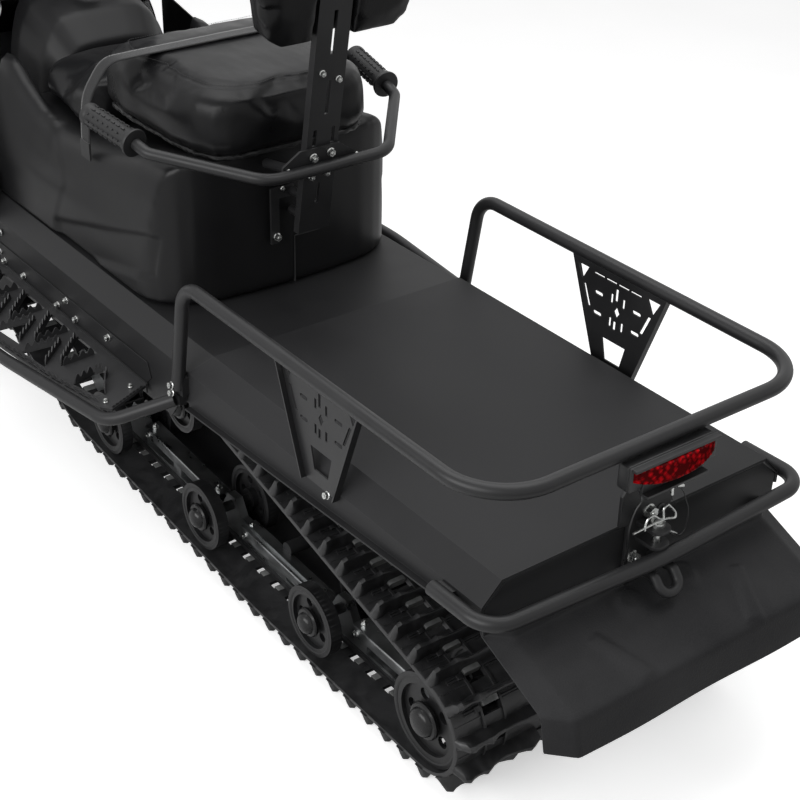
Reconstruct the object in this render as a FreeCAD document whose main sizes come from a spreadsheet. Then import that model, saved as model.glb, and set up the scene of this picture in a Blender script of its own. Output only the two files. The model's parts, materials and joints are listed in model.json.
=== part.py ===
import FreeCAD, Part
import math
import os

import Sketcher

# A utility snowmobile with a wide long track, a two-seat saddle and a railed cargo deck.
# Millimetres. +X is forward, +Y is the rider's left, +Z is up.
# In this source x is measured forward from the rear edge of the cargo deck, y from the middle
# plane and z from the floor. Every sub-part's Placement then moves it back by rear_edge_x, so
# that the finished model's origin is on the floor below the middle of its bounding box.

SIZES = (
    ("rear_edge_x", -1410.0),
    # tunnel and deck
    ("deck_top", 500.0),
    ("deck_half", 280.0),
    ("side_half", 316.0),
    ("side_top", 464.0),
    ("sheet_gap", 3.0),
    ("cover_long", 797.0),
    ("tunnel_long", 1870.0),
    ("tunnel_low", 235.0),
    ("board_height", 335.0),
    # cargo rails
    ("tube_radius", 12.5),
    ("rail_height", 657.0),
    ("rail_half", 330.0),
    ("rail_rear_x", -23.5),
    ("rail_front_x", 803.0),
    ("plate_thick", 3.0),
    # track and its suspension
    ("track_half", 300.0),
    ("belt_thick", 8.0),
    ("lug_tall", 32.0),
    ("lug_count", 72.0),
    ("idler_radius", 87.0),
    ("idler_x", 150.0),
    ("carrier_radius", 58.0),
    ("carrier_x", 919.0),
    ("carrier_z", 344.0),
    ("drive_radius", 85.0),
    ("drive_x", 1720.0),
    ("drive_z", 300.0),
    ("bogie_radius", 68.0),
    ("wheel_wide", 24.0),
    ("belt_room", 2.0),
    ("axle_radius", 10.0),
    ("rail_gauge", 210.0),
    ("slide_thick", 16.0),
    # seat
    ("seat_rear_x", 955.0),
    ("seat_base_top", 785.0),
    ("cushion_thick", 118.0),
    ("base_half", 250.0),
    # skis and steering
    ("ski_stance", 465.0),
    ("ski_wide", 150.0),
    ("spindle_x", 2330.0),
    ("spindle_z", 95.0),
    ("spindle_lean", 15.0),
    ("spindle_radius", 16.0),
    ("post_low_x", 2130.0),
    ("post_low_z", 540.0),
    ("post_high_x", 1850.0),
    ("post_high_z", 1060.0),
    ("bar_half", 370.0),
    # front body
    ("hood_low", 452.0),
    ("panel_wall", 4.0),
    ("engine_long", 320.0),
    ("engine_wide", 330.0),
    ("engine_tall", 300.0),
)

doc = FreeCAD.newDocument("snowmobile")
Vector = FreeCAD.Vector
sheet = doc.addObject("Spreadsheet::Sheet", "Sizes")
for row, (alias, value) in enumerate(SIZES, start=1):
    sheet.set("A%d" % row, alias)
    sheet.set("B%d" % row, str(value))
    sheet.setAlias("B%d" % row, alias)
doc.recompute()

nodes = []


def size(alias):
    return float(sheet.get(alias))


def keep(thing, label):
    """Name a finished sub-part and bind its Placement to the common origin."""
    thing.Label = label
    thing.setExpression("Placement.Base.x", "Sizes.rear_edge_x")
    nodes.append(thing)
    return thing


def keep_shape(label, shape):
    """Store a shape made with Part's own functions as one sub-part."""
    thing = doc.addObject("Part::Feature", label)
    thing.Shape = shape
    return keep(thing, label)


def together(shapes):
    """Join touching shapes into one solid, or keep separate ones side by side."""
    whole = shapes[0].fuse(shapes[1:]) if len(shapes) > 1 else shapes[0]
    return whole.removeSplitter()


def mirrored(shape):
    """The same shape on the other side of the middle plane."""
    return shape.mirror(Vector(0, 0, 0), Vector(0, 1, 0))


def both_sides(shapes):
    return Part.makeCompound([solid for shape in shapes for side in (shape, mirrored(shape))
                              for solid in side.Solids])


def box(x0, x1, y0, y1, z0, z1):
    return Part.makeBox(x1 - x0, y1 - y0, z1 - z0, Vector(x0, y0, z0))


def rod(start, end, radius):
    """A round bar from one point to another."""
    run = end - start
    return Part.makeCylinder(radius, run.Length, start, run)


def slab(points, thick_y, middle_y=0.0):
    """A plate in the X-Z plane, its outline given as (x, z), centred on y = middle_y."""
    y = middle_y - thick_y / 2
    corners = [Vector(x, y, z) for x, z in points]
    face = Part.Face(Part.makePolygon(corners + corners[:1]))
    return face.extrude(Vector(0, thick_y, 0))


def bent_path(points, bends):
    """Straight runs through the points, with a tangent arc of each bend's radius between them."""
    edges = []
    start = points[0]
    for before, corner, after, bend in zip(points, points[1:], points[2:], bends):
        back = (before - corner).normalize()
        ahead = (after - corner).normalize()
        half = back.getAngle(ahead) / 2
        inward = (back + ahead).normalize()
        centre = corner + inward * (bend / math.sin(half))
        first = corner + back * (bend / math.tan(half))
        last = corner + ahead * (bend / math.tan(half))
        edges.append(Part.LineSegment(start, first).toShape())
        edges.append(Part.Arc(first, centre - inward * bend, last).toShape())
        start = last
    edges.append(Part.LineSegment(start, points[-1]).toShape())
    return Part.Wire(edges)


def tube(points, radius, bends):
    """A round bar bent along a path."""
    path = bent_path(points, bends)
    ring = Part.Wire([Part.makeCircle(radius, points[0], points[1] - points[0])])
    bar = path.makePipeShell([ring], True, False)
    expected = math.pi * radius ** 2 * path.Length
    if abs(bar.Volume - expected) > 0.02 * expected:
        raise RuntimeError("a bent tube lost its section")
    return bar


def loft(sections):
    """A closed solid through polygons that have the same number of corners."""
    wires = [Part.makePolygon(section + section[:1]) for section in sections]
    return Part.makeLoft(wires, True, True)


def arch(x, half, low, high, power, steps, flat=0.0):
    """One cross-section: a flat sill at z = low under a superellipse that rises to z = high."""
    side = []
    for step in range(steps + 1):
        turn = math.pi / 2 * step / steps
        y = flat + (half - flat) * math.cos(turn) ** (2 / power)
        z = low + (high - low) * math.sin(turn) ** (2 / power)
        side.append((y, z))
    left = [Vector(x, y, z) for y, z in side if y > 0.5]
    right = [Vector(x, -point.y, point.z) for point in reversed(left)]
    crown = [] if flat > 0.5 else [Vector(x, 0, high)]
    return left + crown + right


def origin_plane(body, role):
    for feature in body.Origin.OriginFeatures:
        if feature.Role == role:
            return feature
    raise RuntimeError("no plane " + role)


def sketch_on(body, role, offset=0.0):
    """A sketch on one of a body's origin planes, moved along the plane's normal."""
    sketch = body.newObject("Sketcher::SketchObject", "outline")
    sketch.AttachmentSupport = [(origin_plane(body, role), "")]
    sketch.MapMode = "FlatFace"
    sketch.AttachmentOffset = FreeCAD.Placement(Vector(0, 0, offset), FreeCAD.Rotation())
    return sketch


def draw(sketch, points):
    """Draw a closed outline. A coordinate given as text is bound to the sheet."""
    first = len(sketch.Geometry)
    count = len(points)
    corners = []
    for step, (across, along) in enumerate(points):
        u = float(step) if isinstance(across, str) else across
        v = float(step * step) if isinstance(along, str) else along
        corners.append(Vector(u, v, 0))
    for step in range(count):
        line = Part.LineSegment(corners[step], corners[(step + 1) % count])
        sketch.addGeometry(line, False)
    for step in range(count):
        joined = (first + step, 2, first + (step + 1) % count, 1)
        sketch.addConstraint(Sketcher.Constraint("Coincident", *joined))
    for step, (across, along) in enumerate(points):
        corner = corners[step]
        for kind, wanted, rough in (("DistanceX", across, corner.x), ("DistanceY", along, corner.y)):
            if isinstance(wanted, str):
                bound = sketch.addConstraint(
                    Sketcher.Constraint(kind, -1, 1, first + step, 1, rough))
                sketch.setExpression("Constraints[%d]" % bound, wanted)


def pad(body, role, outlines, length, offset=0.0, both_ways=False):
    """Add material: a sketch of closed outlines, raised by a length bound to the sheet."""
    sketch = sketch_on(body, role, offset)
    for points in outlines:
        draw(sketch, points)
    feature = body.newObject("PartDesign::Pad", "pad")
    feature.Profile = sketch
    feature.setExpression("Length", length)
    if both_ways:
        feature.SideType = "Symmetric"
    doc.recompute()
    return feature


def cut(body, role, outlines, bores=()):
    """Take material away right through the body, both ways from the sketch."""
    before = body.Shape.Volume
    sketch = sketch_on(body, role)
    for points in outlines:
        draw(sketch, points)
    for across, along, radius in bores:
        ring = sketch.addGeometry(Part.Circle(Vector(across, along, 0), Vector(0, 0, 1), 5.0), False)
        bound = sketch.addConstraint(Sketcher.Constraint("Radius", ring, 5.0))
        sketch.setExpression("Constraints[%d]" % bound, radius)
    feature = body.newObject("PartDesign::Pocket", "cut")
    feature.Profile = sketch
    feature.Type = "ThroughAll"
    feature.SideType = "Symmetric"
    doc.recompute()
    if not body.Shape.Volume < before:
        raise RuntimeError("a cut took nothing from " + body.Label)
    return feature


def new_body(label):
    return doc.addObject("PartDesign::Body", label)


# ---------------------------------------------------------------- tunnel and cargo deck

def make_tunnel():
    """The bent aluminium tunnel over the track, its lower edge stepped for the boards."""
    body = new_body("tunnel")
    top = "Sizes.deck_top - Sizes.sheet_gap"
    half = "Sizes.side_half - Sizes.sheet_gap"
    inner = "Sizes.side_half - 2*Sizes.sheet_gap"
    outline = [
        ("-(%s)" % half, "Sizes.tunnel_low"), ("-(%s)" % half, "Sizes.side_top - 3"),
        ("-(Sizes.deck_half - 3)", top), ("Sizes.deck_half - 3", top),
        (half, "Sizes.side_top - 3"), (half, "Sizes.tunnel_low"),
        (inner, "Sizes.tunnel_low"), (inner, "Sizes.side_top - 4.2"),
        ("Sizes.deck_half - 4.2", "Sizes.deck_top - 2*Sizes.sheet_gap"),
        ("-(Sizes.deck_half - 4.2)", "Sizes.deck_top - 2*Sizes.sheet_gap"),
        ("-(%s)" % inner, "Sizes.side_top - 4.2"), ("-(%s)" % inner, "Sizes.tunnel_low"),
    ]
    pad(body, "YZ_Plane", [outline], "Sizes.tunnel_long")
    cut(body, "XZ_Plane", [[
        (-5, 441), (862, 393), (905, "Sizes.board_height"), (1560, "Sizes.board_height"),
        (1650, "Sizes.tunnel_low - 1"), (1880, "Sizes.tunnel_low - 1"), (1880, 150), (-5, 150)]])
    bulkhead = [outline[0], outline[1], outline[2], outline[3], outline[4], outline[5]]
    pad(body, "YZ_Plane", [bulkhead], "Sizes.sheet_gap", offset=size("tunnel_long") - 0.5)
    keep(body, "tunnel")


def make_deck_cover():
    """The pressed cover of the cargo deck, chamfered along its sides, with a turned-out lip."""
    body = new_body("deck_cover")
    pad(body, "YZ_Plane", [[
        ("-Sizes.side_half", 350), ("-Sizes.side_half", "Sizes.side_top"),
        ("-Sizes.deck_half", "Sizes.deck_top"), ("Sizes.deck_half", "Sizes.deck_top"),
        ("Sizes.side_half", "Sizes.side_top"), ("Sizes.side_half", 350),
        ("Sizes.side_half - 2.8", 350), ("Sizes.side_half - 2.8", "Sizes.side_top - 1.2"),
        ("Sizes.deck_half - 1.2", "Sizes.deck_top - 2.8"),
        ("-(Sizes.deck_half - 1.2)", "Sizes.deck_top - 2.8"),
        ("-(Sizes.side_half - 2.8)", "Sizes.side_top - 1.2"), ("-(Sizes.side_half - 2.8)", 350)]],
        "Sizes.cover_long + 34")
    cut(body, "XZ_Plane", [[(-5, 440), (840, 393), (840, 300), (-5, 300)]])
    cut(body, "XY_Plane", [[
        ("Sizes.cover_long", "-Sizes.deck_half"), ("Sizes.cover_long + 40", "-Sizes.side_half - 8"),
        ("Sizes.cover_long + 40", "Sizes.side_half + 8"), ("Sizes.cover_long", "Sizes.deck_half")]])
    lip = [(40, 438), (826, 394), (826, 391), (40, 435)]
    pad(body, "XZ_Plane", [lip], "14", offset=size("side_half") - 2)
    pad(body, "XZ_Plane", [lip], "14", offset=-size("side_half") - 12)
    keep(body, "deck_cover")


def make_rear_panel():
    """The upright panel that closes the tunnel below the deck's rear edge."""
    body = new_body("rear_panel")
    pad(body, "YZ_Plane", [[
        (-309, 408), (-309, 459), ("-(Sizes.deck_half - 6)", 493), ("Sizes.deck_half - 6", 493),
        (309, 459), (309, 408)]], "Sizes.sheet_gap", offset=0.5)
    keep(body, "rear_panel")


def make_cargo_rail():
    """One bent tube round the deck, on two feet bolted to the tunnel's sides."""
    half = size("rail_half")
    high = size("rail_height")
    front = size("rail_front_x")
    rear = size("rail_rear_x")
    foot = Vector(front + 40, half, 432)
    points = [foot, Vector(front, half, high), Vector(rear, half, high),
              Vector(rear, -half, high), Vector(front, -half, high), Vector(foot.x, -half, foot.z)]
    radius = size("tube_radius")
    shapes = [tube(points, radius, [58, 105, 105, 58])]
    for side in (1, -1):
        inner = side * (size("side_half") + 0.3)
        shapes.append(box(foot.x - 15, foot.x + 15, min(inner, side * half), max(inner, side * half),
                          foot.z - 14, foot.z + 22))
    keep_shape("cargo_rail", together(shapes))


def make_rail_plates():
    """A perforated accessory plate under each side rail, its front and rear edges folded out."""
    thick = size("plate_thick")
    inner = size("side_half") + 0.6
    outline = [(286, 651), (523, 651), (447, 452), (356, 452)]
    window = [(372, 520), (431, 520), (421, 478), (382, 478)]
    plate = slab(outline, thick, inner + thick / 2).cut(slab(window, 40, inner))
    for row, z in enumerate((560, 600)):
        for x in (353, 449):
            slot = box(x - 7, x + 7, 280, 360, z - 3.5, z + 3.5)
            ends = [Part.makeCylinder(3.5, 80, Vector(x + end, 280, z), Vector(0, 1, 0))
                    for end in (-7, 7)]
            plate = plate.cut([slot] + ends)
    upright_slots = [(401, 408, 545, 562), (401, 408, 602, 626), (383, 389, 548, 566), (413, 419, 548, 566),
                     (383, 389, 595, 613), (413, 419, 595, 613)]
    slits = [(x, x + 27, 634, 637.5) for x in (345, 376, 407, 438)]
    plate = plate.cut([box(x0, x1, 280, 360, z0, z1) for x0, x1, z0, z1 in upright_slots + slits])
    plate = plate.cut([slab([(318, 606), (325, 606), (342, 566), (335, 566)], 60, inner),
                       slab([(491, 606), (484, 606), (467, 566), (474, 566)], 60, inner)])
    plate = plate.cut([slab([(300, 640), (330, 640), (315, 612)], 60, inner),
                       slab([(479, 640), (509, 640), (494, 612)], 60, inner),
                       slab([(401, 592), (408, 581), (401, 570), (394, 581)], 60, inner)])
    for low, high in (((356, 452), (286, 651)), ((447, 452), (523, 651))):
        lean = thick if low[0] < 400 else -thick
        edge = slab([low, high, (high[0] + lean, high[1]), (low[0] + lean, low[1])],
                    13, inner + 6.5)
        plate = plate.fuse(edge)
    plate = plate.removeSplitter()
    # the rail tube rests on the top edge
    tube_room = Part.makeCylinder(size("tube_radius") + 0.2, 900,
                                  Vector(0, size("rail_half"), size("rail_height")), Vector(1, 0, 0))
    keep_shape("rail_plates", both_sides([plate.cut(tube_room)]))


def make_tail_light():
    """The housing on its stalk below the rear rail, and the red lens in front of it."""
    housing = box(-46, -20, -88, 88, 598, 643)
    housing = housing.makeFillet(5, housing.Edges)
    neck = box(-24, -6.6, -36, 36, 606, 634)
    rim = box(-50, -44, -90, 90, 601, 644)
    rim = rim.makeFillet(2.5, rim.Edges)
    keep_shape("tail_light_housing", together([housing, neck, rim]))
    bow = Part.makeCylinder(300, 28, Vector(233, 0, 609), Vector(0, 0, 1))
    lens = box(-76, -50.3, -84, 84, 609, 637).common(bow)
    keep_shape("tail_light_lens", lens)


def make_rear_bumper():
    """The bent tube round the rear end, on two side lugs."""
    radius = size("tube_radius")
    half = size("side_half") + 18
    points = [Vector(92, half, 453), Vector(-40, half, 456), Vector(-53, 0, 452.5),
              Vector(-40, -half, 456), Vector(92, -half, 453)]
    shapes = [tube(points, radius, [48, 1200, 48])]
    for side in (1, -1):
        ends = sorted((side * (size("side_half") + 0.3), side * half))
        shapes.append(box(58, 90, ends[0], ends[1], 446, 460))
    keep_shape("rear_bumper", together(shapes))


def make_tow_hitch():
    """A bracket down the middle of the rear, with a two-plate jaw and a recovery loop."""
    outline = [(-36, 404), (36, 404), (36, 498), (54, 502), (54, 556), (44, 568), (44, 632),
               (-44, 632), (-44, 568), (-54, 556), (-54, 502), (-36, 498)]
    corners = [Vector(-6.3, y, z) for y, z in outline]
    plate = Part.Face(Part.makePolygon(corners + corners[:1])).extrude(Vector(6, 0, 0))
    jaws = [box(-52, -5, -18, 18, z, z + 6) for z in (466, 494)]
    jaws = [jaw.makeFillet(14, [edge for edge in jaw.Edges if edge.BoundBox.ZLength > 5
                                and edge.BoundBox.XMax < -45]) for jaw in jaws]
    loop = tube([Vector(-4, -20, 422), Vector(-56, -20, 427), Vector(-78, -20, 402),
                 Vector(-78, 20, 402), Vector(-56, 20, 427), Vector(-4, 20, 422)],
                8.5, [13, 19, 19, 13])
    hole = Part.makeCylinder(6.7, 100, Vector(-33, 0, 440), Vector(0, 0, 1))
    keep_shape("tow_hitch", together([plate, loop] + jaws).cut(hole))
    pin = rod(Vector(-33, 0, 459), Vector(-33, 0, 512), 6.5)
    head = rod(Vector(-33, 0, 500.2), Vector(-33, 0, 508), 11)
    keep_shape("tow_pin", together([pin, head]))


def make_snow_flap():
    """The moulded snow flap: a sloped face with turned-in side facets and a hanging band."""
    rows = (
        (425, (-8, 303), (-17, 268)),
        (400, (-10, 303), (-24, 268)),
        (342, (-120, 306), (-160, 270)),
        (278, (-138, 300), (-178, 264)),
    )
    sections = []
    for z, outer, front in rows:
        skin = [Vector(x, y, z) for x, y in (outer, front)]
        back = [Vector(x + 6, y - 3, z) for x, y in (front, outer)]
        left = skin + back
        sections.append([left[0], left[1], Vector(left[1].x, -left[1].y, z),
                         Vector(left[0].x, -left[0].y, z), Vector(left[3].x, -left[3].y, z),
                         Vector(left[2].x, -left[2].y, z), left[2], left[3]])
    keep_shape("snow_flap", loft(sections).cut(box(-60, 0, -62, 62, 402, 430)))


# ---------------------------------------------------------------- saddle

def body_section(x, half, low, high):
    """The saddle body's outline across the machine, widest at its foot."""
    side = [(half + 26, low), (half + 27, low + 50), (half + 23, low + 105), (half + 8, high - 80),
            (half - 1, high - 44), (half - 10, high - 20), (half - 28, high - 6), (half - 60, high)]
    return [Vector(x, y, z) for y, z in side + [(-y, z) for y, z in side[::-1]]]


def knee_section(x, half, low, high):
    """One raised knee panel's outline across the machine."""
    side = [(half - 48, low), (half + 26, low), (half + 27, low + 50), (half + 23, low + 105),
            (half + 8, high - 80), (half - 1, high - 34), (half - 10, high - 8), (half - 22, high),
            (half - 36, high - 2), (half - 45, high - 14)]
    return [Vector(x, y, z) for y, z in side]


def make_seat():
    """The moulded seat body, the two cushions and the pad, all closed solids."""
    rear = size("seat_rear_x")
    half = size("base_half")
    floor_z = size("deck_top") + 0.3
    corner = [(rear + 6, -4), (rear + 6, 4), (rear + 9, 76), (rear + 12, 119), (rear + 18, 170),
              (rear + 28, 203), (rear + 44, 232), (rear + 68, 257), (rear + 92, 270), (rear + 125, 277),
              (1700, 277.5)]
    outline = corner[1:] + [(x, -y) for x, y in corner[:0:-1]]
    plan = [Vector(x, y, floor_z - 1) for x, y in outline]
    plan = Part.Face(Part.makePolygon(plan + plan[:1])).extrude(Vector(0, 0, 320))
    body = loft([body_section(x, half, floor_z, high) for x, high in (
        (rear, 786), (rear + 55, 788), (1103, 777), (1265, 741), (1372, 722), (1461, 715), (1527, 718),
        (1645, 718))]).common(plan)
    wing = loft([knee_section(x, half, floor_z, high) for x, high in (
        (1470, 712), (1527, 726), (1611, 764), (1652, 791), (1698, 799))])
    keep_shape("seat_base", together([body, wing, mirrored(wing)]))
    low = size("seat_base_top") + 6
    high = low + size("cushion_thick")
    cushion = loft([
        arch(935, 118, low, high - 9, 4.4, 8, flat=70),
        arch(943, 145, low, high - 6, 4.6, 8, flat=85),
        arch(962, 170, low, high - 3, 4.8, 8, flat=100),
        arch(1000, 190, low, high, 5.0, 8, flat=112),
        arch(1060, 198, low, high + 2, 5.0, 8, flat=118),
        arch(1240, 202, low, high + 8, 4.8, 8, flat=118),
        arch(1325, 192, low, high + 2, 4.4, 8, flat=112),
        arch(1350, 150, low, high - 16, 3.6, 8, flat=90)])
    keep_shape("passenger_seat", cushion)
    driver_low = 728
    driver = loft([
        arch(1354, 178, driver_low, driver_low + 84, 3.4, 8, flat=100),
        arch(1374, 218, driver_low, driver_low + 98, 3.8, 8, flat=120),
        arch(1440, 212, driver_low, driver_low + 88, 3.8, 8, flat=118),
        arch(1500, 199, driver_low, driver_low + 78, 3.6, 8, flat=108),
        arch(1600, 190, driver_low, driver_low + 70, 3.4, 8, flat=100),
        arch(1640, 168, driver_low, driver_low + 64, 3.2, 8, flat=86)])
    keep_shape("driver_seat", driver)


def make_grab_bar():
    """The passenger's handrail behind and beside the cushion, and its two rubber grips."""
    points = [Vector(1043, 278, 820), Vector(1010, 273, 812), Vector(838, 130, 785),
              Vector(838, -130, 785), Vector(1010, -273, 812), Vector(1043, -278, 820)]
    rail = tube(points, 11, [30, 60, 60, 30])
    stems = [rod(Vector(1043, side * 278, 820), Vector(1187, side * 299, 839), 9) for side in (1, -1)]
    struts = [rod(Vector(838, y, 785), Vector(953.5, y, 765), 9) for y in (-62, 62)]
    outline = [(-76, 776), (-76, 788), (-22, 825), (62, 824), (96, 800), (96, 776)]
    corners = [Vector(845.4 - (z - 786) * 0.167, y, z) for y, z in outline]
    clamp = Part.Face(Part.makePolygon(corners + corners[:1])).extrude(Vector(5, 0, 0))
    keep_shape("grab_bar", together([rail, clamp] + stems + struts))
    grips = []
    for side in (1, -1):
        start = Vector(1043.5, side * 278, 820)
        end = Vector(1180, side * 298, 838)
        run = (end - start).normalize()
        sleeve = Part.makeCylinder(20, 128, start + run * 6, run)
        collar = Part.makeCylinder(26, 7, start + run * 1, run)
        core = Part.makeCylinder(9.2, 170, start - run * 5, run)
        grips.append(sleeve.fuse(collar).removeSplitter().cut(core))
    keep_shape("grab_bar_grips", Part.makeCompound(grips))


def make_backrest():
    """The slotted upright behind the cushion and the pad that slides on it."""
    upright = slab([(874, 648), (880, 648), (791, 1180), (785, 1180)], 68, 12)
    flanges = [slab([(874, 648), (890, 648), (801, 1180), (785, 1180)], 4, y) for y in (-20, 44)]
    post = together([upright] + flanges)
    for y, low, high in ((12, 706, 748), (-9, 826, 858), (30, 826, 858), (10, 886, 952), (10, 1000, 1080)):
        post = post.cut(box(770, 900, y - 4, y + 4, low, high))
    links = [rod(Vector(x, 8, z), Vector(954.5, 8, z), 8) for x, z in ((868, 700), (876, 660))]
    strap = box(949.5, 954.5, 38, 56, 600, 690)
    bridge = box(949.5, 954.5, 4, 56, 690, 712)
    keep_shape("backrest_upright", together([post, strap, bridge] + links))
    pad_shape = loft([
        [Vector(x - (z - 960) * 0.167, y, z) for x, y in (
            (818, -wide), (898, -wide + 18), (906, 0), (898, wide - 18), (818, wide))]
        for z, wide in ((1028, 120), (1046, 150), (1115, 165), (1195, 160), (1226, 130), (1236, 90))])
    room = slab([(860, 640), (900, 640), (810, 1190), (770, 1190)], 78, 12)
    keep_shape("backrest_pad", pad_shape.cut(room))


def make_hold_strap():
    """The passenger's webbing strap across the front of the cushion."""
    half = size("base_half")
    path = ((1295, half + 3, 706), (1295, half + 2, 758), (1288, half - 2, 820), (1260, half - 8, 868),
            (1224, half - 22, 910), (1206, half - 62, 921), (1202, 90, 923))
    wide = 18
    sections = []
    for x, y, z in path:
        outward = Vector(0, y, (z - 800) * 1.4 if z > 860 else 0).normalize() * 2.5
        inner = Vector(x, y, z)
        outer = inner + outward
        sections.append([inner - Vector(wide, 0, 0), inner + Vector(wide, 0, 0),
                         outer + Vector(wide, 0, 0), outer - Vector(wide, 0, 0)])
    other = [[Vector(p.x, -p.y, p.z) for p in points] for points in sections[::-1]]
    keep_shape("hold_strap", loft(sections + other))


# ---------------------------------------------------------------- running boards

def opposite(outline):
    """The same outline across the middle plane, in a sketch whose second axis is y."""
    return [(x, "-(%s)" % y if isinstance(y, str) else -y) for x, y in outline]


def make_running_boards():
    """Perforated boards beside the tunnel, rising inwards to a flange against its side."""
    body = new_body("running_boards")
    inner = "Sizes.side_half + 0.5"
    section = [(inner, 346), (inner, 366), (inner + " + 4", 366), (inner + " + 4", 363), (478, 344),
               (478, 338.5), (inner + " + 4", 357), (inner + " + 4", 346)]
    across = [[(y, z) for y, z in section],
              [("-(%s)" % y if isinstance(y, str) else -y, z) for y, z in section]]
    pad(body, "YZ_Plane", across, "680", offset=960)
    waste = [(950, 310), (950, 484), (1640, 484), (1640, 474), (1312, 466), (1133, 447), (984, 420),
             (962, 406), (988, 322), (988, 310)]
    holes = [[(1089, 422), (1098, 372), (1092, 357), (1080, 352), (1055, 370), (1012, 393), (1018, 408),
              (1052, 414)]]
    for start in (1155, 1270, 1385, 1500):
        holes.append([(start, 336), (start + 84, 336), (start + 8, 412)])
        holes.append([(start + 27, 436), (start + 89, 366), (start + 110, 445)])
    cut(body, "XY_Plane", holes + [opposite(hole) for hole in holes])
    cut(body, "XY_Plane", [waste, opposite(waste)])
    keep(body, "running_boards")


def make_footrest_tubes():
    """The bent tube along the outer edge of each running board."""
    half = size("side_half")
    points = [Vector(850, half + 18, 404), Vector(925, 436, 354), Vector(1280, 486, 345),
              Vector(1700, 494, 338), Vector(1860, 360, 330)]
    tubes = []
    for side in (1, -1):
        route = [Vector(p.x, side * p.y, p.z) for p in points]
        bar = tube(route, size("tube_radius"), [70, 600, 90])
        ends = sorted((side * (half + 0.3), side * (half + 16)))
        tubes.append(together([bar, box(838, 866, ends[0], ends[1], 394, 415)]))
    keep_shape("footrest_tubes", Part.makeCompound(tubes))


# ---------------------------------------------------------------- track

def floor_height():
    """How high the belt's inner face lies where its lugs stand on the floor."""
    return size("lug_tall") + size("belt_thick")


def loop_circles():
    """The wheels and guide curves that the belt's inner face wraps, in its order of travel."""
    floor_z = floor_height()
    idler = (size("idler_x"), floor_z + size("idler_radius"), size("idler_radius"))
    carrier = (size("carrier_x"), size("carrier_z"), size("carrier_radius"))
    drive = (size("drive_x"), size("drive_z"), size("drive_radius"))
    nose = (1330.0, floor_z + 40 + 260, 260.0)
    belly = (640.0, floor_z + 1200, 1200.0)
    return [idler, carrier, drive, nose, belly]


def loop_pieces(offset):
    """The loop as lines and arcs, run clockwise seen from the right: (kind, length, data)."""
    circles = loop_circles()
    count = len(circles)
    tangents = []
    for step in range(count):
        x1, z1, r1 = circles[step]
        x2, z2, r2 = circles[(step + 1) % count]
        span = math.hypot(x2 - x1, z2 - z1)
        heading = math.atan2(z2 - z1, x2 - x1)
        normal = heading + math.pi / 2 - math.asin((r1 - r2) / span)
        tangents.append(normal)
    pieces = []
    for step in range(count):
        x1, z1, r1 = circles[step]
        arriving = tangents[step - 1]
        leaving = tangents[step]
        turn = (arriving - leaving) % (2 * math.pi)
        radius = r1 + offset
        pieces.append(("arc", radius * turn, (x1, z1, radius, arriving)))
        x2, z2, r2 = circles[(step + 1) % count]
        start = (x1 + radius * math.cos(leaving), z1 + radius * math.sin(leaving))
        end = (x2 + (r2 + offset) * math.cos(leaving), z2 + (r2 + offset) * math.sin(leaving))
        length = math.hypot(end[0] - start[0], end[1] - start[1])
        pieces.append(("line", length, (start, end, leaving)))
    return pieces


def loop_point(pieces, distance, out):
    """The point at a distance along the loop, moved outward by out."""
    total = sum(piece[1] for piece in pieces)
    left = distance % total
    for kind, length, data in pieces:
        if left <= length:
            if kind == "arc":
                x, z, radius, arriving = data
                angle = arriving - left / radius
                return Vector(x + (radius + out) * math.cos(angle), 0, z + (radius + out) * math.sin(angle))
            start, end, normal = data
            part = left / length
            return Vector(start[0] + (end[0] - start[0]) * part + out * math.cos(normal), 0,
                          start[1] + (end[1] - start[1]) * part + out * math.sin(normal))
        left -= length
    raise RuntimeError("off the loop")


def make_track():
    """The belt with its cross lugs, as one closed loop."""
    pieces = loop_pieces(0.0)
    total = sum(piece[1] for piece in pieces)
    count = int(size("lug_count"))
    pitch = total / count
    half = size("track_half")
    thick = size("belt_thick")
    tall = thick + size("lug_tall")
    outer = []
    for lug in range(count):
        middle = lug * pitch
        for shift, out in ((-26, thick), (-11, thick), (-6, tall), (6, tall), (11, thick)):
            outer.append(loop_point(pieces, middle + shift * pitch / 52, out))
    inner = [loop_point(pieces, step * total / 150, 0) for step in range(150)]
    faces = []
    for points in (outer, inner):
        corners = [Vector(p.x, -half, p.z) for p in points]
        faces.append(Part.Face(Part.makePolygon(corners + corners[:1])))
    ring = faces[0].cut(faces[1]).Faces[0]
    keep_shape("track", ring.extrude(Vector(0, 2 * half, 0)))
    print("track loop %.0f mm, pitch %.2f mm" % (total, pitch))


def wheel(x, y, z, radius, hub, wide):
    """A spoked wheel: a tyre ring, a web with five holes and a hub on its axle."""
    along = Vector(0, 1, 0)
    ring = Part.makeCylinder(radius, wide, Vector(x, y - wide / 2, z), along)
    dish = Part.makeCylinder(radius * 0.76, wide, Vector(x, y - wide / 2, z), along)
    web = Part.makeCylinder(radius * 0.8, 7, Vector(x, y - 3.5, z), along)
    boss = Part.makeCylinder(hub, wide + 8, Vector(x, y - wide / 2 - 4, z), along)
    for step in range(5):
        angle = 2 * math.pi * step / 5
        spot = Vector(x + radius * 0.52 * math.cos(angle), y - 10, z + radius * 0.52 * math.sin(angle))
        web = web.cut(Part.makeCylinder(radius * 0.13, 20, spot, along))
    return together([ring.cut(dish), web, boss])


def belly_height(x):
    """How high the belt's inner face lies on its lower run."""
    pieces = loop_pieces(0.0)
    total = sum(piece[1] for piece in pieces)
    best = min((abs(loop_point(pieces, step, 0).x - x), loop_point(pieces, step, 0).z)
               for step in range(int(total * 0.5), int(total), 4))
    return best[1]


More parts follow.
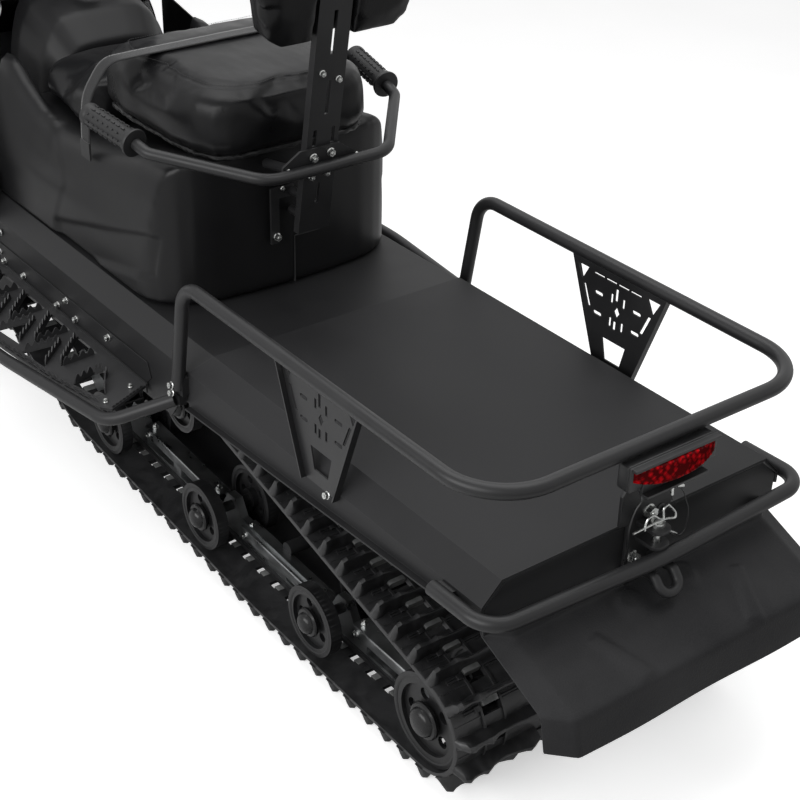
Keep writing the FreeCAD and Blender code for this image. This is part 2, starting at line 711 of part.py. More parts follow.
def make_suspension():
    """Wheels on their axles, the two slide rails and the arms that carry them."""
    radius = size("bogie_radius")
    wide = size("wheel_wide")
    axle = size("axle_radius")
    idler_z = floor_height() + size("idler_radius")
    wheels = []
    for x, z in bogie_places():
        row = [wheel(x, y, z, radius, 20, wide) for y in (-278, -165, 165, 278)]
        row.append(rod(Vector(x, -286, z), Vector(x, 286, z), axle))
        wheels.append(together(row))
    rear = [wheel(size("idler_x"), y, idler_z, size("idler_radius") - size("belt_room"), 26, wide)
            for y in (-278, -160, 0, 160, 278)]
    rear.append(rod(Vector(size("idler_x"), -288, idler_z), Vector(size("idler_x"), 288, idler_z), 12))
    wheels.append(together(rear))
    keep_shape("suspension_wheels", Part.makeCompound(wheels))

    carriers = [wheel(size("carrier_x"), y, size("carrier_z"), size("carrier_radius") - size("belt_room"), 20, wide)
                for y in (-278, -120, 120, 278)]
    carriers.append(rod(Vector(size("carrier_x"), -308, size("carrier_z")),
                        Vector(size("carrier_x"), 308, size("carrier_z")), axle))
    keep_shape("carrier_wheels", together(carriers))

    sprockets = [wheel(size("drive_x"), y, size("drive_z"), size("drive_radius") - size("belt_room"), 34, 30)
                 for y in (-210, -70, 70, 210)]
    sprockets.append(rod(Vector(size("drive_x"), -308, size("drive_z")),
                         Vector(size("drive_x"), 308, size("drive_z")), 18))
    keep_shape("drive_axle", together(sprockets))


def bogie_places():
    """The middle of each lower axle, as (x, z)."""
    lift = size("bogie_radius") + size("belt_room")
    return [(x, belly_height(x) + lift) for x in (485.0, 860.0, 1235.0)]


def make_slide_rails():
    """Two aluminium rails that press the belt down, with lightening windows and axle holes."""
    body = new_body("slide_rails")
    low = belly_height(640) + 1
    outline = [(190, low + 22), (240, low), (640, low), (1330, low + 41),
               (1420, low + 66), (1500, low + 128), (1470, low + 150), (1400, low + 112)]
    for x, z in reversed(bogie_places()):
        outline += [(x + 34, z - 14), (x + 14, z + 20), (x - 14, z + 20), (x - 34, z - 14)]
    outline += [(300, low + 54), (215, low + 110), (128, low + 110), (128, low + 62), (190, low + 62)]
    for middle in (size("rail_gauge"), -size("rail_gauge")):
        pad(body, "XZ_Plane", [outline], "Sizes.slide_thick", offset=middle - size("slide_thick") / 2)
    windows = [[(x, low + 14 + rise), (x + 110, low + 14 + rise), (x + 110, low + 38 + rise),
                (x, low + 38 + rise)] for x, rise in ((300, 0), (560, 0), (950, 20), (1090, 28))]
    cut(body, "XZ_Plane", windows)
    bores = [(x, z, "Sizes.axle_radius + 0.3") for x, z in bogie_places()]
    bores.append((size("idler_x"), floor_height() + size("idler_radius"), "12.3"))
    cut(body, "XZ_Plane", [], bores=bores)
    keep(body, "slide_rails")


def make_suspension_arms():
    """The front and rear arms, their cross tubes and the two dampers."""
    gauge = size("rail_gauge")
    parts = []
    front_low = Vector(1345, 0, 158)
    front_high = Vector(1560, 0, 360)
    rear_low = Vector(690, 0, 108)
    rear_high = Vector(1010, 0, 300)
    for low, high in ((front_low, front_high), (rear_low, rear_high)):
        for y in (-120, 120):
            parts.append(rod(Vector(low.x, y, low.z), Vector(high.x, y, high.z), 15))
        parts.append(rod(Vector(low.x, -gauge + 8, low.z), Vector(low.x, gauge - 8, low.z), 14))
        parts.append(rod(Vector(high.x, -308, high.z), Vector(high.x, 308, high.z), 14))
    arms = together(parts[:4])
    rear = together(parts[4:])
    keep_shape("suspension_arms", Part.makeCompound(arms.Solids + rear.Solids))
    dampers = []
    for low, high in ((Vector(1090, 0, 130), Vector(1330, 0, 300)), (Vector(560, 0, 128), Vector(800, 0, 270))):
        run = (high - low).normalize()
        body = rod(low, low + run * 130, 24)
        shaft = rod(low + run * 120, high, 8)
        dampers.append(together([body, shaft]))
    keep_shape("track_dampers", Part.makeCompound(dampers))


# ---------------------------------------------------------------- front body

def make_front_body():
    """Belly pan, hood, side panels, windshield, lamps, console and dash."""
    wall = size("panel_wall")
    low = size("hood_low")

    def pan(shrink):
        stations = ((1876, 306, 225), (1990, 300, 190), (2110, 200, 176), (2330, 200, 172),
                    (2560, 200, 190), (2640, 230, 250), (2740, 200, 330), (2796, 130, 400))
        sections = []
        for x, half, bottom in stations:
            w = half - shrink
            z = bottom + shrink
            top = low - 6 if not shrink else low + 20
            keel = w * 0.62
            knee = min(bottom + 60, (bottom + low) / 2)
            sections.append([Vector(x, w, top), Vector(x, -w, top), Vector(x, -w, knee),
                             Vector(x, -keel, z), Vector(x, keel, z), Vector(x, w, knee)])
        return sections

    outside = loft(pan(0.0))
    hollow = pan(wall)
    hollow[0] = [Vector(1876 + wall, p.y, p.z) for p in hollow[0]]
    hollow[-1] = [Vector(2796 - wall, p.y, p.z) for p in hollow[-1]]
    tub = outside.cut(loft(hollow))
    for side in (1, -1):
        slot = box(2168, 2262, min(side * 118, side * 262), max(side * 118, side * 262), 176, 222)
        tub = tub.cut(slot)
    barrels = [rod(Vector(2800, side * 96, low - 6), Vector(2800, side * 120, low - 6), 7)
               for side in (1, -1)]
    keep_shape("belly_pan", together([tub] + barrels))

    def hood_sections(shrink):
        stations = (
            (2040, 330, 880, 3.2), (2120, 352, 872, 3.0), (2240, 366, 848, 2.8), (2380, 366, 808, 2.7),
            (2520, 346, 752, 2.6), (2640, 300, 686, 2.5), (2730, 232, 612, 2.5), (2790, 140, 530, 2.4))
        return [arch(x, half - shrink, low - shrink * 6, high - shrink, power, 9)
                for x, half, high, power in stations]

    skin = loft(hood_sections(0.0))
    core = hood_sections(wall)
    core[0] = [Vector(2039, p.y, p.z) for p in core[0]]
    core[-1] = [Vector(2790 - wall, p.y, p.z) for p in core[-1]]
    openings = [Part.makeCylinder(58, 300, Vector(2580, y, 612), Vector(1, 0, 0)) for y in (-88, 88)]
    knuckles = []
    for side in (1, -1):
        near, far = sorted((side * 135.5, side * 150))
        knuckles.append(rod(Vector(2800, near, low - 6), Vector(2800, far, low - 6), 7))
        knuckles.append(box(2786, 2803, near, far, low - 2, low + 26))
    shell = skin.cut([loft(core)] + openings)
    keep_shape("hood", together([shell] + knuckles))
    lens_core = loft(hood_sections(wall + 4))
    lenses = []
    bowls = []
    for y in (-88, 88):
        plug = Part.makeCylinder(57.4, 300, Vector(2580, y, 612), Vector(1, 0, 0))
        lenses.append(skin.common(plug).cut(lens_core))
        bowl = plug.common(lens_core)
        cup = bowl.cut(Part.makeCylinder(52, 300, Vector(2600, y, 612), Vector(1, 0, 0)))
        bowls.append(max(cup.Solids, key=lambda solid: solid.Volume))
    keep_shape("headlight_lenses", Part.makeCompound([lens.Solids[0] for lens in lenses]))
    keep_shape("headlight_bowls", Part.makeCompound(bowls))

    over = loft(hood_sections(-0.3))
    glass = loft(windshield_sections()).cut(over)
    keep_shape("windshield", max(glass.Solids, key=lambda solid: solid.Volume))

    panel = loft([
        [Vector(x, half, 344), Vector(x, half, top), Vector(x, half - wall, top),
         Vector(x, half - wall, 344)]
        for x, half, top in ((1655, 322, 560), (1760, 330, 640), (1880, 338, 720), (2030, 330, 760))])
    keep_shape("side_panels", both_sides([panel]))

    tank = loft([
        arch(1648, 150, 502, 800, 3.0, 7, flat=40),
        arch(1700, 170, 502, 850, 3.0, 7, flat=50),
        arch(1800, 172, 502, 880, 3.0, 7, flat=50),
        arch(1880, 150, 502, 880, 3.0, 7, flat=40)])
    cap = Part.makeCylinder(34, 26, Vector(1770, 0, 872), Vector(-0.05, 0, 1))
    keep_shape("fuel_tank", together([tank, cap]))

    dash = loft([
        arch(1886, 300, 842, 898, 3.0, 7, flat=120),
        arch(1960, 316, 836, 900, 3.0, 7, flat=130),
        arch(2032, 318, 822, 884, 3.0, 7, flat=130)])
    post_room = steering_rod(26, -200, 900)
    keep_shape("dash", dash.cut(post_room))


def windshield_sections():
    """A curved screen leaning back from the hood, given as stacked outlines."""
    outlines = []
    for z, x, half, sweep in ((700, 2306, 318, 96), (872, 2230, 318, 90), (980, 2178, 312, 84),
                              (1120, 2112, 284, 70), (1240, 2056, 226, 46), (1300, 2030, 150, 20)):
        across = [-half, -half / 2, 0, half / 2, half]
        front = [Vector(x - sweep * (y / half) ** 2, y, z) for y in across]
        back = [point - Vector(5, 0, 0) for point in reversed(front)]
        outlines.append(front + back)
    return outlines


def make_engine():
    """The engine as one plain block, with Part's own box bound to the sheet."""
    engine = doc.addObject("Part::Box", "engine_block")
    engine.setExpression("Length", "Sizes.engine_long")
    engine.setExpression("Width", "Sizes.engine_wide")
    engine.setExpression("Height", "Sizes.engine_tall")
    engine.Placement = FreeCAD.Placement(
        Vector(0, -size("engine_wide") / 2, 262), FreeCAD.Rotation())
    engine.Label = "engine"
    engine.setExpression("Placement.Base.x", "Sizes.rear_edge_x + 2190")
    nodes.append(engine)


def make_front_bumper():
    """A bent tube ahead of the nose, carried by two stays from the belly pan."""
    points = [Vector(2540, 224, 392), Vector(2680, 256, 424), Vector(2876, 205, 474),
              Vector(2876, -205, 474), Vector(2680, -256, 424), Vector(2540, -224, 392)]
    lugs = [box(2530, 2556, min(side * 200.4, side * 224), max(side * 200.4, side * 224), 382, 402)
            for side in (1, -1)]
    keep_shape("front_bumper", together([tube(points, 13, [60, 60, 60, 60])] + lugs))


# ---------------------------------------------------------------- skis and steering

def spindle_line(side):
    """The foot of a ski's steering axis and the axis's direction."""
    lean = math.radians(size("spindle_lean"))
    foot = Vector(size("spindle_x"), side * size("ski_stance"), size("spindle_z"))
    return foot, Vector(-math.sin(lean), 0, math.cos(lean))


def make_ski(side, name):
    """A plastic ski with a turned-up tip, its keel, runner and handle loop."""
    x0 = size("spindle_x")
    y0 = side * size("ski_stance")
    half = size("ski_wide") / 2
    rows = ((-430, 60, 26, 34), (-400, 72, 10, 20), (-200, half, 8, 18), (100, half, 8, 18),
            (380, half, 8, 18), (500, half * 0.97, 24, 34), (590, half * 0.86, 66, 75),
            (640, half * 0.66, 108, 116), (668, half * 0.4, 140, 147))
    sections = []
    for dx, wide, bottom, top in rows:
        sections.append([Vector(x0 + dx, y0 - wide, bottom), Vector(x0 + dx, y0 + wide, bottom),
                         Vector(x0 + dx, y0 + wide, top), Vector(x0 + dx, y0 - wide, top)])
    deck = loft(sections)
    runner = slab([(x0 - 330, 9), (x0 - 300, 0), (x0 + 300, 0), (x0 + 340, 9), (x0 + 340, 12),
                   (x0 - 330, 12)], 10, y0)
    saddle = [slab([(x0 - 110, 17), (x0 + 110, 17), (x0 + 40, 108), (x0 - 40, 108)], 8, y0 + shift)
              for shift in (-34, 34)]
    loop = tube([Vector(x0 + 470, y0 - 58, 28), Vector(x0 + 560, y0 - 50, 190),
                 Vector(x0 + 560, y0 + 50, 190), Vector(x0 + 470, y0 + 58, 28)], 9, [38, 38])
    body = together([deck, runner, loop] + saddle)
    bolt_hole = Part.makeCylinder(9.2, 120, Vector(x0, y0 - 60, size("spindle_z") - 8), Vector(0, 1, 0))
    keep_shape(name, body.cut(bolt_hole))


def make_spindle(side, name):
    """The turning leg between the ski and its housing, with the steering arm."""
    foot, up = spindle_line(side)
    shaft = rod(foot + up * 60, foot + up * 322, size("spindle_radius"))
    collar = rod(foot + up * 76, foot + up * 94, 27)
    cap = rod(foot + up * 313, foot + up * 322, 24)
    leg = slab([(foot.x - 30, 70), (foot.x + 34, 70), (foot.x + 8, 174), (foot.x - 42, 174)],
               50, foot.y)
    bolt = Part.makeCylinder(9, 92, Vector(foot.x, foot.y - 46, size("spindle_z") - 8), Vector(0, 1, 0))
    base = foot + up * 86
    arm = slab([(base.x + 4, base.z - 14), (base.x + 4, base.z), (base.x - 112, base.z),
                (base.x - 112, base.z - 14)], 26, foot.y)
    joint = Vector(base.x - 96, foot.y, base.z - 7)
    hole = rod(joint - up * 40, joint + up * 40, 6.1)
    leg = leg.cut([box(foot.x - 60, foot.x + 60, foot.y - 26, foot.y - 8, 60, 112),
                   box(foot.x - 60, foot.x + 60, foot.y + 8, foot.y + 26, 60, 112)])
    keep_shape(name, together([shaft, collar, cap, leg, arm, bolt]).cut(hole))
    return joint


def make_tie_rod(side, joint, name):
    """A rod from the steering arm in towards the steering box behind the pan's slot."""
    up = spindle_line(side)[1]
    level = joint + up * 27
    pin = rod(joint - up * 14, level, 6)
    eye = rod(level - up * 10, level + up * 10, 15)
    inner = Vector(level.x, side * 120, level.z)
    bar = rod(level, inner, 8)
    keep_shape(name, together([pin, eye, bar]))


def make_front_arms():
    """Upper and lower wishbones with the spindle housing that joins them on each side."""
    foot, up = spindle_line(1)
    housing = rod(foot + up * 96, foot + up * 311, 27)
    bore = rod(foot + up * 60, foot + up * 340, size("spindle_radius") + 0.06)
    wall = 200.4
    arms = []
    for outer, inner_z in ((foot + up * 132, 254), (foot + up * 270, 372)):
        for dx in (-110, 120):
            eye = Vector(outer.x + dx, wall + 18, inner_z)
            arms.append(rod(Vector(outer.x, outer.y - 16, outer.z), eye, 12))
            arms.append(Part.makeCylinder(15, 46, eye - Vector(23, 0, 0), Vector(1, 0, 0)))
            arms.append(box(eye.x - 30, eye.x + 30, wall, wall + 8, inner_z - 17, inner_z + 17))
    cross = Vector(0, 345, 238)
    arms.append(rod(Vector(2236, cross.y, cross.z), Vector(2360, cross.y, cross.z), 10))
    left = together([housing] + arms).cut(bore)
    keep_shape("front_arms", both_sides([left]))
    low = Vector(2275, 345, 264)
    high = Vector(2275, 226, 424)
    run = (high - low).normalize()
    damper = together([rod(low, low + run * 110, 20), rod(low + run * 100, high, 8),
                       Part.makeCylinder(15, 36, low - Vector(18, 0, 0), Vector(1, 0, 0)),
                       Part.makeCylinder(14, 36, high - Vector(18, 0, 0), Vector(1, 0, 0)),
                       box(2257, 2293, wall, high.y, high.z - 10, high.z + 10)])
    keep_shape("front_dampers", both_sides([damper]))


def steering_axis():
    low = Vector(size("post_low_x"), 0, size("post_low_z"))
    high = Vector(size("post_high_x"), 0, size("post_high_z"))
    return low, (high - low).normalize()


def steering_rod(radius, start, end):
    low, up = steering_axis()
    return rod(low + up * start, low + up * end, radius)


def make_handlebar():
    """The steering post and bent bar, with grips and hand controls."""
    low, up = steering_axis()
    high = Vector(size("post_high_x"), 0, size("post_high_z"))
    half = size("bar_half")
    post = rod(low, high, 16)
    points = [high + Vector(-78, half, 34), high + Vector(-40, 190, 44), high + Vector(0, 60, 6),
              high + Vector(0, -60, 6), high + Vector(-40, -190, 44), high + Vector(-78, -half, 34)]
    bar = tube(points, 11, [60, 50, 50, 60])
    clamp = box(high.x - 22, high.x + 22, -34, 34, high.z - 22, high.z + 24)
    keep_shape("handlebar", together([post, bar, clamp]))
    grips = []
    for side in (1, -1):
        outer = high + Vector(-78, side * half, 34)
        inner = high + Vector(-40, side * 190, 44)
        run = (inner - outer).normalize()
        grip = Part.makeCylinder(17, 130, outer - run * 4, run)
        core = Part.makeCylinder(11.2, 200, outer - run * 0.3, run)
        grips.append(grip.cut(core))
    keep_shape("handlebar_grips", Part.makeCompound(grips))


def make_steering_box():
    """The bearing bracket on the frame that holds the post's lower end."""
    low, up = steering_axis()
    bearing = rod(low - up * 14, low + up * 40, 30)
    bore = rod(low - up * 0.3, low + up * 60, 16.06)
    bridge = box(low.x - 36, low.x + 30, -196, 196, low.z - 34, low.z - 12)
    legs = [box(low.x - 36, low.x + 30, y - 7, y + 7, 250, low.z - 12) for y in (-189, 189)]
    keep_shape("steering_bearing", together([bearing, bridge] + legs).cut(bore))


make_tunnel()
make_deck_cover()
make_rear_panel()
make_cargo_rail()
make_rail_plates()
make_tail_light()
make_rear_bumper()
make_tow_hitch()
make_snow_flap()
make_seat()
make_grab_bar()
make_backrest()
make_hold_strap()
make_running_boards()
make_footrest_tubes()
make_track()
make_slide_rails()
make_suspension()
make_suspension_arms()
make_front_body()
make_engine()
make_front_bumper()
make_front_arms()
for side, word in ((1, "left"), (-1, "right")):
    make_ski(side, "ski_" + word)
    ball = make_spindle(side, "spindle_" + word)
    make_tie_rod(side, ball, "tie_rod_" + word)
make_handlebar()
make_steering_box()
doc.recompute()

for thing in doc.Objects:
    if "Invalid" in thing.State or "Error" in thing.State:
        raise RuntimeError("%s failed: %s" % (thing.Label, thing.State))
os.makedirs("parts", exist_ok=True)
whole = FreeCAD.BoundBox()
for thing in nodes:
    shape = thing.Shape
    if shape.isNull() or not shape.isValid():
        raise RuntimeError(thing.Label + " has no valid shape")
    whole.add(shape.BoundBox)
    shape.exportStep("parts/%s.step" % thing.Label)
    print("%-22s %2d solids  %8.1f cm3" % (thing.Label, len(shape.Solids), shape.Volume / 1000))
print("%d nodes, X %.1f..%.1f Y %.1f..%.1f Z %.1f..%.1f" % (
    len(nodes), whole.XMin, whole.XMax, whole.YMin, whole.YMax, whole.ZMin, whole.ZMax))
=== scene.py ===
# %% [markdown]
# # A utility snowmobile, dressed
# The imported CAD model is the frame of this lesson. It already says where everything is, so this
# file gives each part the shape and finish that the eye expects close up: rolled edges, sewn
# vinyl, rubber lugs, bolts and grain. Lengths are metres, as Blender wants them, but most numbers
# here are written in millimetres, because that is how such machines are drawn.

# %% Load the frame
import json
import math
import random

import bmesh
import bpy
from mathutils import Matrix, Vector, kdtree

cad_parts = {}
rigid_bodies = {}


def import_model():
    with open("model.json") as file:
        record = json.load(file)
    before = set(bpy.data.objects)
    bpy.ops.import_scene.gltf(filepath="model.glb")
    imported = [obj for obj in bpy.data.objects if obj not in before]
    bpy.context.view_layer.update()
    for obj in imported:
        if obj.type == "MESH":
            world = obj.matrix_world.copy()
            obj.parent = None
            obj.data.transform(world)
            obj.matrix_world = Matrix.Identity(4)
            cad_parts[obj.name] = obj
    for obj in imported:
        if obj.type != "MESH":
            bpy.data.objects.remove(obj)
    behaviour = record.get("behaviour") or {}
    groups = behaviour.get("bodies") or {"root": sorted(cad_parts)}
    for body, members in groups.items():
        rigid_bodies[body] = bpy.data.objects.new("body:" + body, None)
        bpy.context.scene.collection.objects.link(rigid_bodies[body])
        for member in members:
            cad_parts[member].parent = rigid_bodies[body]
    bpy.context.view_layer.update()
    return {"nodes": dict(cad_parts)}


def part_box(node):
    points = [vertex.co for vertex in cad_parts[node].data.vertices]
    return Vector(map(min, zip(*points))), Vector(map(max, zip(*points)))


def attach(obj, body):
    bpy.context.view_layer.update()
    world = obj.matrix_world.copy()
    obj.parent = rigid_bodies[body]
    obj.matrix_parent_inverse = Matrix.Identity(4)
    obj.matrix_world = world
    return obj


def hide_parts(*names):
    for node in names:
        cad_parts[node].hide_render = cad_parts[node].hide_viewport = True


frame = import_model()
CAD = frame["nodes"]

# %% [markdown]
# The drawings measure x forward from the rear edge of the cargo deck, y to the rider's left and z
# up from the floor. `at` turns such a point into Blender's metres, and finds the deck's edge from
# the frame itself, so nothing is out of step if the model moves.

# %% Places and small helpers
MM = 0.001
DECK_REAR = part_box("deck_cover")[0].x
DECK_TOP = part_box("deck_cover")[1].z / MM
UP = Vector((0, 0, 1))
AHEAD = Vector((1, 0, 0))
BEHIND = Vector((-1, 0, 0))


def at(x, y, z):
    """A drawing's point as a place in the scene."""
    return Vector((DECK_REAR + x * MM, y * MM, z * MM))


def link(name, data):
    """A new object in the scene."""
    thing = bpy.data.objects.new(name, data)
    bpy.context.scene.collection.objects.link(thing)
    return thing

# %% Turn a form into a piece
def face_count(thing):
    """How many triangles a piece shows, with its modifiers."""
    shape = bpy.context.evaluated_depsgraph_get()
    mesh = thing.evaluated_get(shape).to_mesh()
    count = sum(len(polygon.vertices) - 2 for polygon in mesh.polygons)
    thing.evaluated_get(shape).to_mesh_clear()
    return count


def baked(bm, name):
    """Turn a bmesh into a mesh and free it."""
    mesh = bpy.data.meshes.new(name)
    bm.to_mesh(mesh)
    bm.free()
    return mesh


def finish_piece(name, bm, finish, instead_of=(), crease=32, body="chassis"):
    """Turn a bmesh into a piece: outward faces, smooth shading up to a crease, finish and body."""
    bmesh.ops.recalc_face_normals(bm, faces=bm.faces)
    mesh = baked(bm, name)
    for polygon in mesh.polygons:
        polygon.use_smooth = True
    mesh.set_sharp_from_angle(angle=math.radians(crease))
    thing = link(name, mesh)
    mesh.materials.append(finish)
    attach(thing, body)
    if instead_of:
        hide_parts(*instead_of)
    return thing


def rounded(thing, width, angle=30):
    """Round the edges of a finished piece with Blender's Bevel."""
    bevel = thing.modifiers.new("rounded_edges", "BEVEL")
    bevel.width = width * MM
    bevel.segments = 2
    bevel.limit_method = "ANGLE"
    bevel.angle_limit = math.radians(angle)
    bevel.harden_normals = True
    return thing


def walled(thing, thickness, offset):
    """Give a sheet its wall with Blender's Solidify."""
    wall = thing.modifiers.new("wall", "SOLIDIFY")
    wall.thickness = thickness * MM
    wall.offset = offset

# %% Blocks, rods and turned forms
def put(bm, matrix, verts):
    """Move vertices by a matrix."""
    bmesh.ops.transform(bm, matrix=matrix, verts=verts)


def add_block(bm, low, high):
    """A block between two corners."""
    made = bmesh.ops.create_cube(bm, size=1.0)["verts"]
    middle = (low + high) / 2
    size = high - low
    stretch = Matrix.Diagonal((abs(size.x), abs(size.y), abs(size.z), 1))
    put(bm, Matrix.Translation(middle) @ stretch, made)
    return made


def turned_to(start, run):
    """The matrix that stands a shape's own z axis along run, at start."""
    return Matrix.Translation(start) @ run.to_track_quat("Z", "Y").to_matrix().to_4x4()


def add_rod(bm, start, end, radius, sides=20):
    """A round bar from one point to another. Its radius is in millimetres."""
    run = end - start
    made = bmesh.ops.create_cone(bm, cap_ends=True, segments=sides, radius1=radius * MM,
                                 radius2=radius * MM, depth=run.length)["verts"]
    put(bm, turned_to((start + end) / 2, run), made)
    return made


def add_turned(bm, start, run, profile, sides=28):
    """Spin a profile of (radius, height) in millimetres round an axis, as a lathe does."""
    path = [bm.verts.new((radius * MM, 0, height * MM)) for radius, height in profile]
    edges = [bm.edges.new(pair) for pair in zip(path, path[1:])]
    before = set(bm.verts) - set(path)
    bmesh.ops.spin(bm, geom=path + edges, cent=(0, 0, 0), axis=(0, 0, 1), angle=2 * math.pi,
                   steps=sides, use_merge=True)
    made = [vert for vert in bm.verts if vert not in before]
    bmesh.ops.remove_doubles(bm, verts=made, dist=1e-6)
    made = [vert for vert in bm.verts if vert not in before]
    put(bm, turned_to(start, run), made)
    return made

# %% Bolts and joined rings
def add_bolt(bm, spot, outward, across):
    """A flanged hexagon head, its washer and the end of its thread, standing on a surface."""
    outward = outward.normalized()
    flange = [(0, 0.0), (across * 0.62, 0.0), (across * 0.62, 1.6), (across * 0.5, 2.6), (0, 2.6)]
    add_turned(bm, spot, outward, flange, sides=20)
    head = bmesh.ops.create_cone(bm, cap_ends=True, segments=6, radius1=across * 0.56 * MM,
                                 radius2=across * 0.53 * MM, depth=across * 0.5 * MM)["verts"]
    put(bm, turned_to(spot + outward * (2.0 + across * 0.25) * MM, outward), head)
    dome = [(0, across * 0.5 + 2.0), (across * 0.24, across * 0.5 + 2.0),
            (across * 0.22, across * 0.5 + 3.6), (0, across * 0.5 + 4.0)]
    add_turned(bm, spot, outward, dome, sides=12)


def grown_from(bm, edges=None, face=None):
    """Extrude edges or a face, and give the new vertices."""
    if face:
        grown = bmesh.ops.extrude_face_region(bm, geom=[face])["geom"]
    else:
        grown = bmesh.ops.extrude_edge_only(bm, edges=edges)["geom"]
    return [item for item in grown if isinstance(item, bmesh.types.BMVert)]


def ring_edges(ring):
    """The edges at a ring's vertices, each once."""
    return list(dict.fromkeys(edge for vert in ring for edge in vert.link_edges))


def bridge(bm, loops):
    """Join each ring of edges to the next with faces."""
    for here, there in zip(loops, loops[1:]):
        bmesh.ops.bridge_loops(bm, edges=here + there)

# %% [markdown]
# ## Finishes
# Nearly everything on this machine is black, so the eye tells the parts apart by grain and gloss:
# wrinkled paint on the deck, satin powder coat on tubes, soft vinyl, moulded plastic, tyre-like
# rubber. Each finish is built from the same few nodes. A fine pattern at its true size drives the
# bump, a slow one drifts the colour and the gloss by a little, and edges are found with the Bevel
# node, which tells how far a rounded corner would turn away from the real one. There the colour
# is painted lighter, partly as wear and partly as a painted highlight along the edge.

# %% One node, one colour
def add(tree, kind, links=None, **settings):
    """Add one shader node. Settings are its properties, links its socket values or sources."""
    made = tree.nodes.new("ShaderNode" + kind)
    for key, value in settings.items():
        setattr(made, key, value)
    for key, value in (links or {}).items():
        if isinstance(value, bpy.types.NodeSocket):
            tree.links.new(value, made.inputs[key])
        else:
            made.inputs[key].default_value = value
    return made


def colour(code):
    """A linear colour from sRGB hex."""
    values = []
    for step in (0, 2, 4):
        part = int(code[step:step + 2], 16) / 255
        values.append(part / 12.92 if part <= 0.04045 else ((part + 0.055) / 1.055) ** 2.4)
    return (*values, 1.0)

# %% A surface with grain, drift and wear
def new_finish(name):
    """A finish with one shader: the finish, its nodes, the shader and each spot's own place."""
    finish = bpy.data.materials.new(name)
    finish.use_nodes = True
    tree = finish.node_tree
    tree.nodes.clear()
    shader = add(tree, "BsdfPrincipled")
    add(tree, "OutputMaterial", {"Surface": shader.outputs["BSDF"]})
    place = add(tree, "TexCoord").outputs["Object"]
    return finish, tree, shader, place


def mixed(tree, factor, first, second):
    """A colour between two, by a factor from 0 to 1."""
    return add(tree, "Mix", {0: factor, 6: first, 7: second}, data_type="RGBA").outputs[2]


def grain(tree, place, size_mm, detail=3.0, kind="TexNoise"):
    """A pattern whose features are size_mm across."""
    if kind == "TexVoronoi":
        return add(tree, kind, {"Vector": place, "Scale": 1000.0 / size_mm}).outputs["Distance"]
    return add(tree, kind, {"Vector": place, "Scale": 1000.0 / size_mm, "Detail": detail,
                            "Roughness": 0.55}).outputs[0]


def spread(tree, value, low, high, floor=0.3, ceiling=0.7):
    """Stretch a pattern's middle values over a new range."""
    return add(tree, "MapRange", {"Value": value, "From Min": floor, "From Max": ceiling,
                                  "To Min": low, "To Max": high}).outputs["Result"]


def edge_wear_and_highlight_mask(tree, radius_mm):
    """1 along outside and inside corners, 0 on flats: where edges are painted lighter, as wear and
    as a painted highlight.
    """
    soft = add(tree, "Bevel", {"Radius": radius_mm * MM}, samples=6).outputs["Normal"]
    hard = add(tree, "NewGeometry").outputs["Normal"]
    turned = add(tree, "VectorMath", {0: soft, 1: hard}, operation="DOT_PRODUCT").outputs["Value"]
    return add(tree, "MapRange", {"Value": turned, "From Min": 0.99, "From Max": 0.88,
                                  "To Min": 0.0, "To Max": 1.0}).outputs["Result"]

# %% The finish that most parts share
def surface(name, base, drift, worn_and_highlight, rough, grain_mm, depth_mm, slow_mm=120.0, gloss=0.5,
            pattern="TexNoise", wear_and_highlight=0.5, wear_and_highlight_mm=1.2, metal=0.0, coat=0.0, sheen=0.0,
            second=None):
    """The finish most parts share. rough is a pair: the least and the most roughness."""
    finish, tree, shader, place = new_finish(name)
    slow = grain(tree, place, slow_mm, detail=4.0)
    fine = grain(tree, place, grain_mm, kind=pattern)
    tone = mixed(tree, spread(tree, slow, 0.0, 1.0), colour(base), colour(drift))
    speck = mixed(tree, spread(tree, fine, 0.0, 0.35), tone, colour(drift))
    # Edges take the lighter edge colour: partly real wear, partly a painted highlight along the
    # edge.
    scuff_and_highlight = add(tree, "Math", {0: edge_wear_and_highlight_mask(tree, wear_and_highlight_mm), 1: spread(tree, slow, 0.15, wear_and_highlight)},
                operation="MULTIPLY").outputs[0]
    tree.links.new(mixed(tree, scuff_and_highlight, speck, colour(worn_and_highlight)), shader.inputs["Base Color"])
    tree.links.new(spread(tree, slow, rough[0], rough[1]), shader.inputs["Roughness"])
    shader.inputs["Metallic"].default_value = metal
    shader.inputs["Specular IOR Level"].default_value = gloss
    if coat:
        shader.inputs["Coat Weight"].default_value = coat
        shader.inputs["Coat Roughness"].default_value = 0.12
    if sheen:
        shader.inputs["Sheen Weight"].default_value = sheen
        shader.inputs["Sheen Roughness"].default_value = 0.4
    bump = add(tree, "Bump", {"Height": fine, "Strength": 1.0, "Distance": depth_mm * MM})
    if second:
        size_mm, deep_mm = second
        coarse = grain(tree, place, size_mm, detail=2.0)
        bump = add(tree, "Bump", {"Height": coarse, "Strength": 1.0, "Distance": deep_mm * MM,
                                  "Normal": bump.outputs["Normal"]})
    tree.links.new(bump.outputs["Normal"], shader.inputs["Normal"])
    return finish
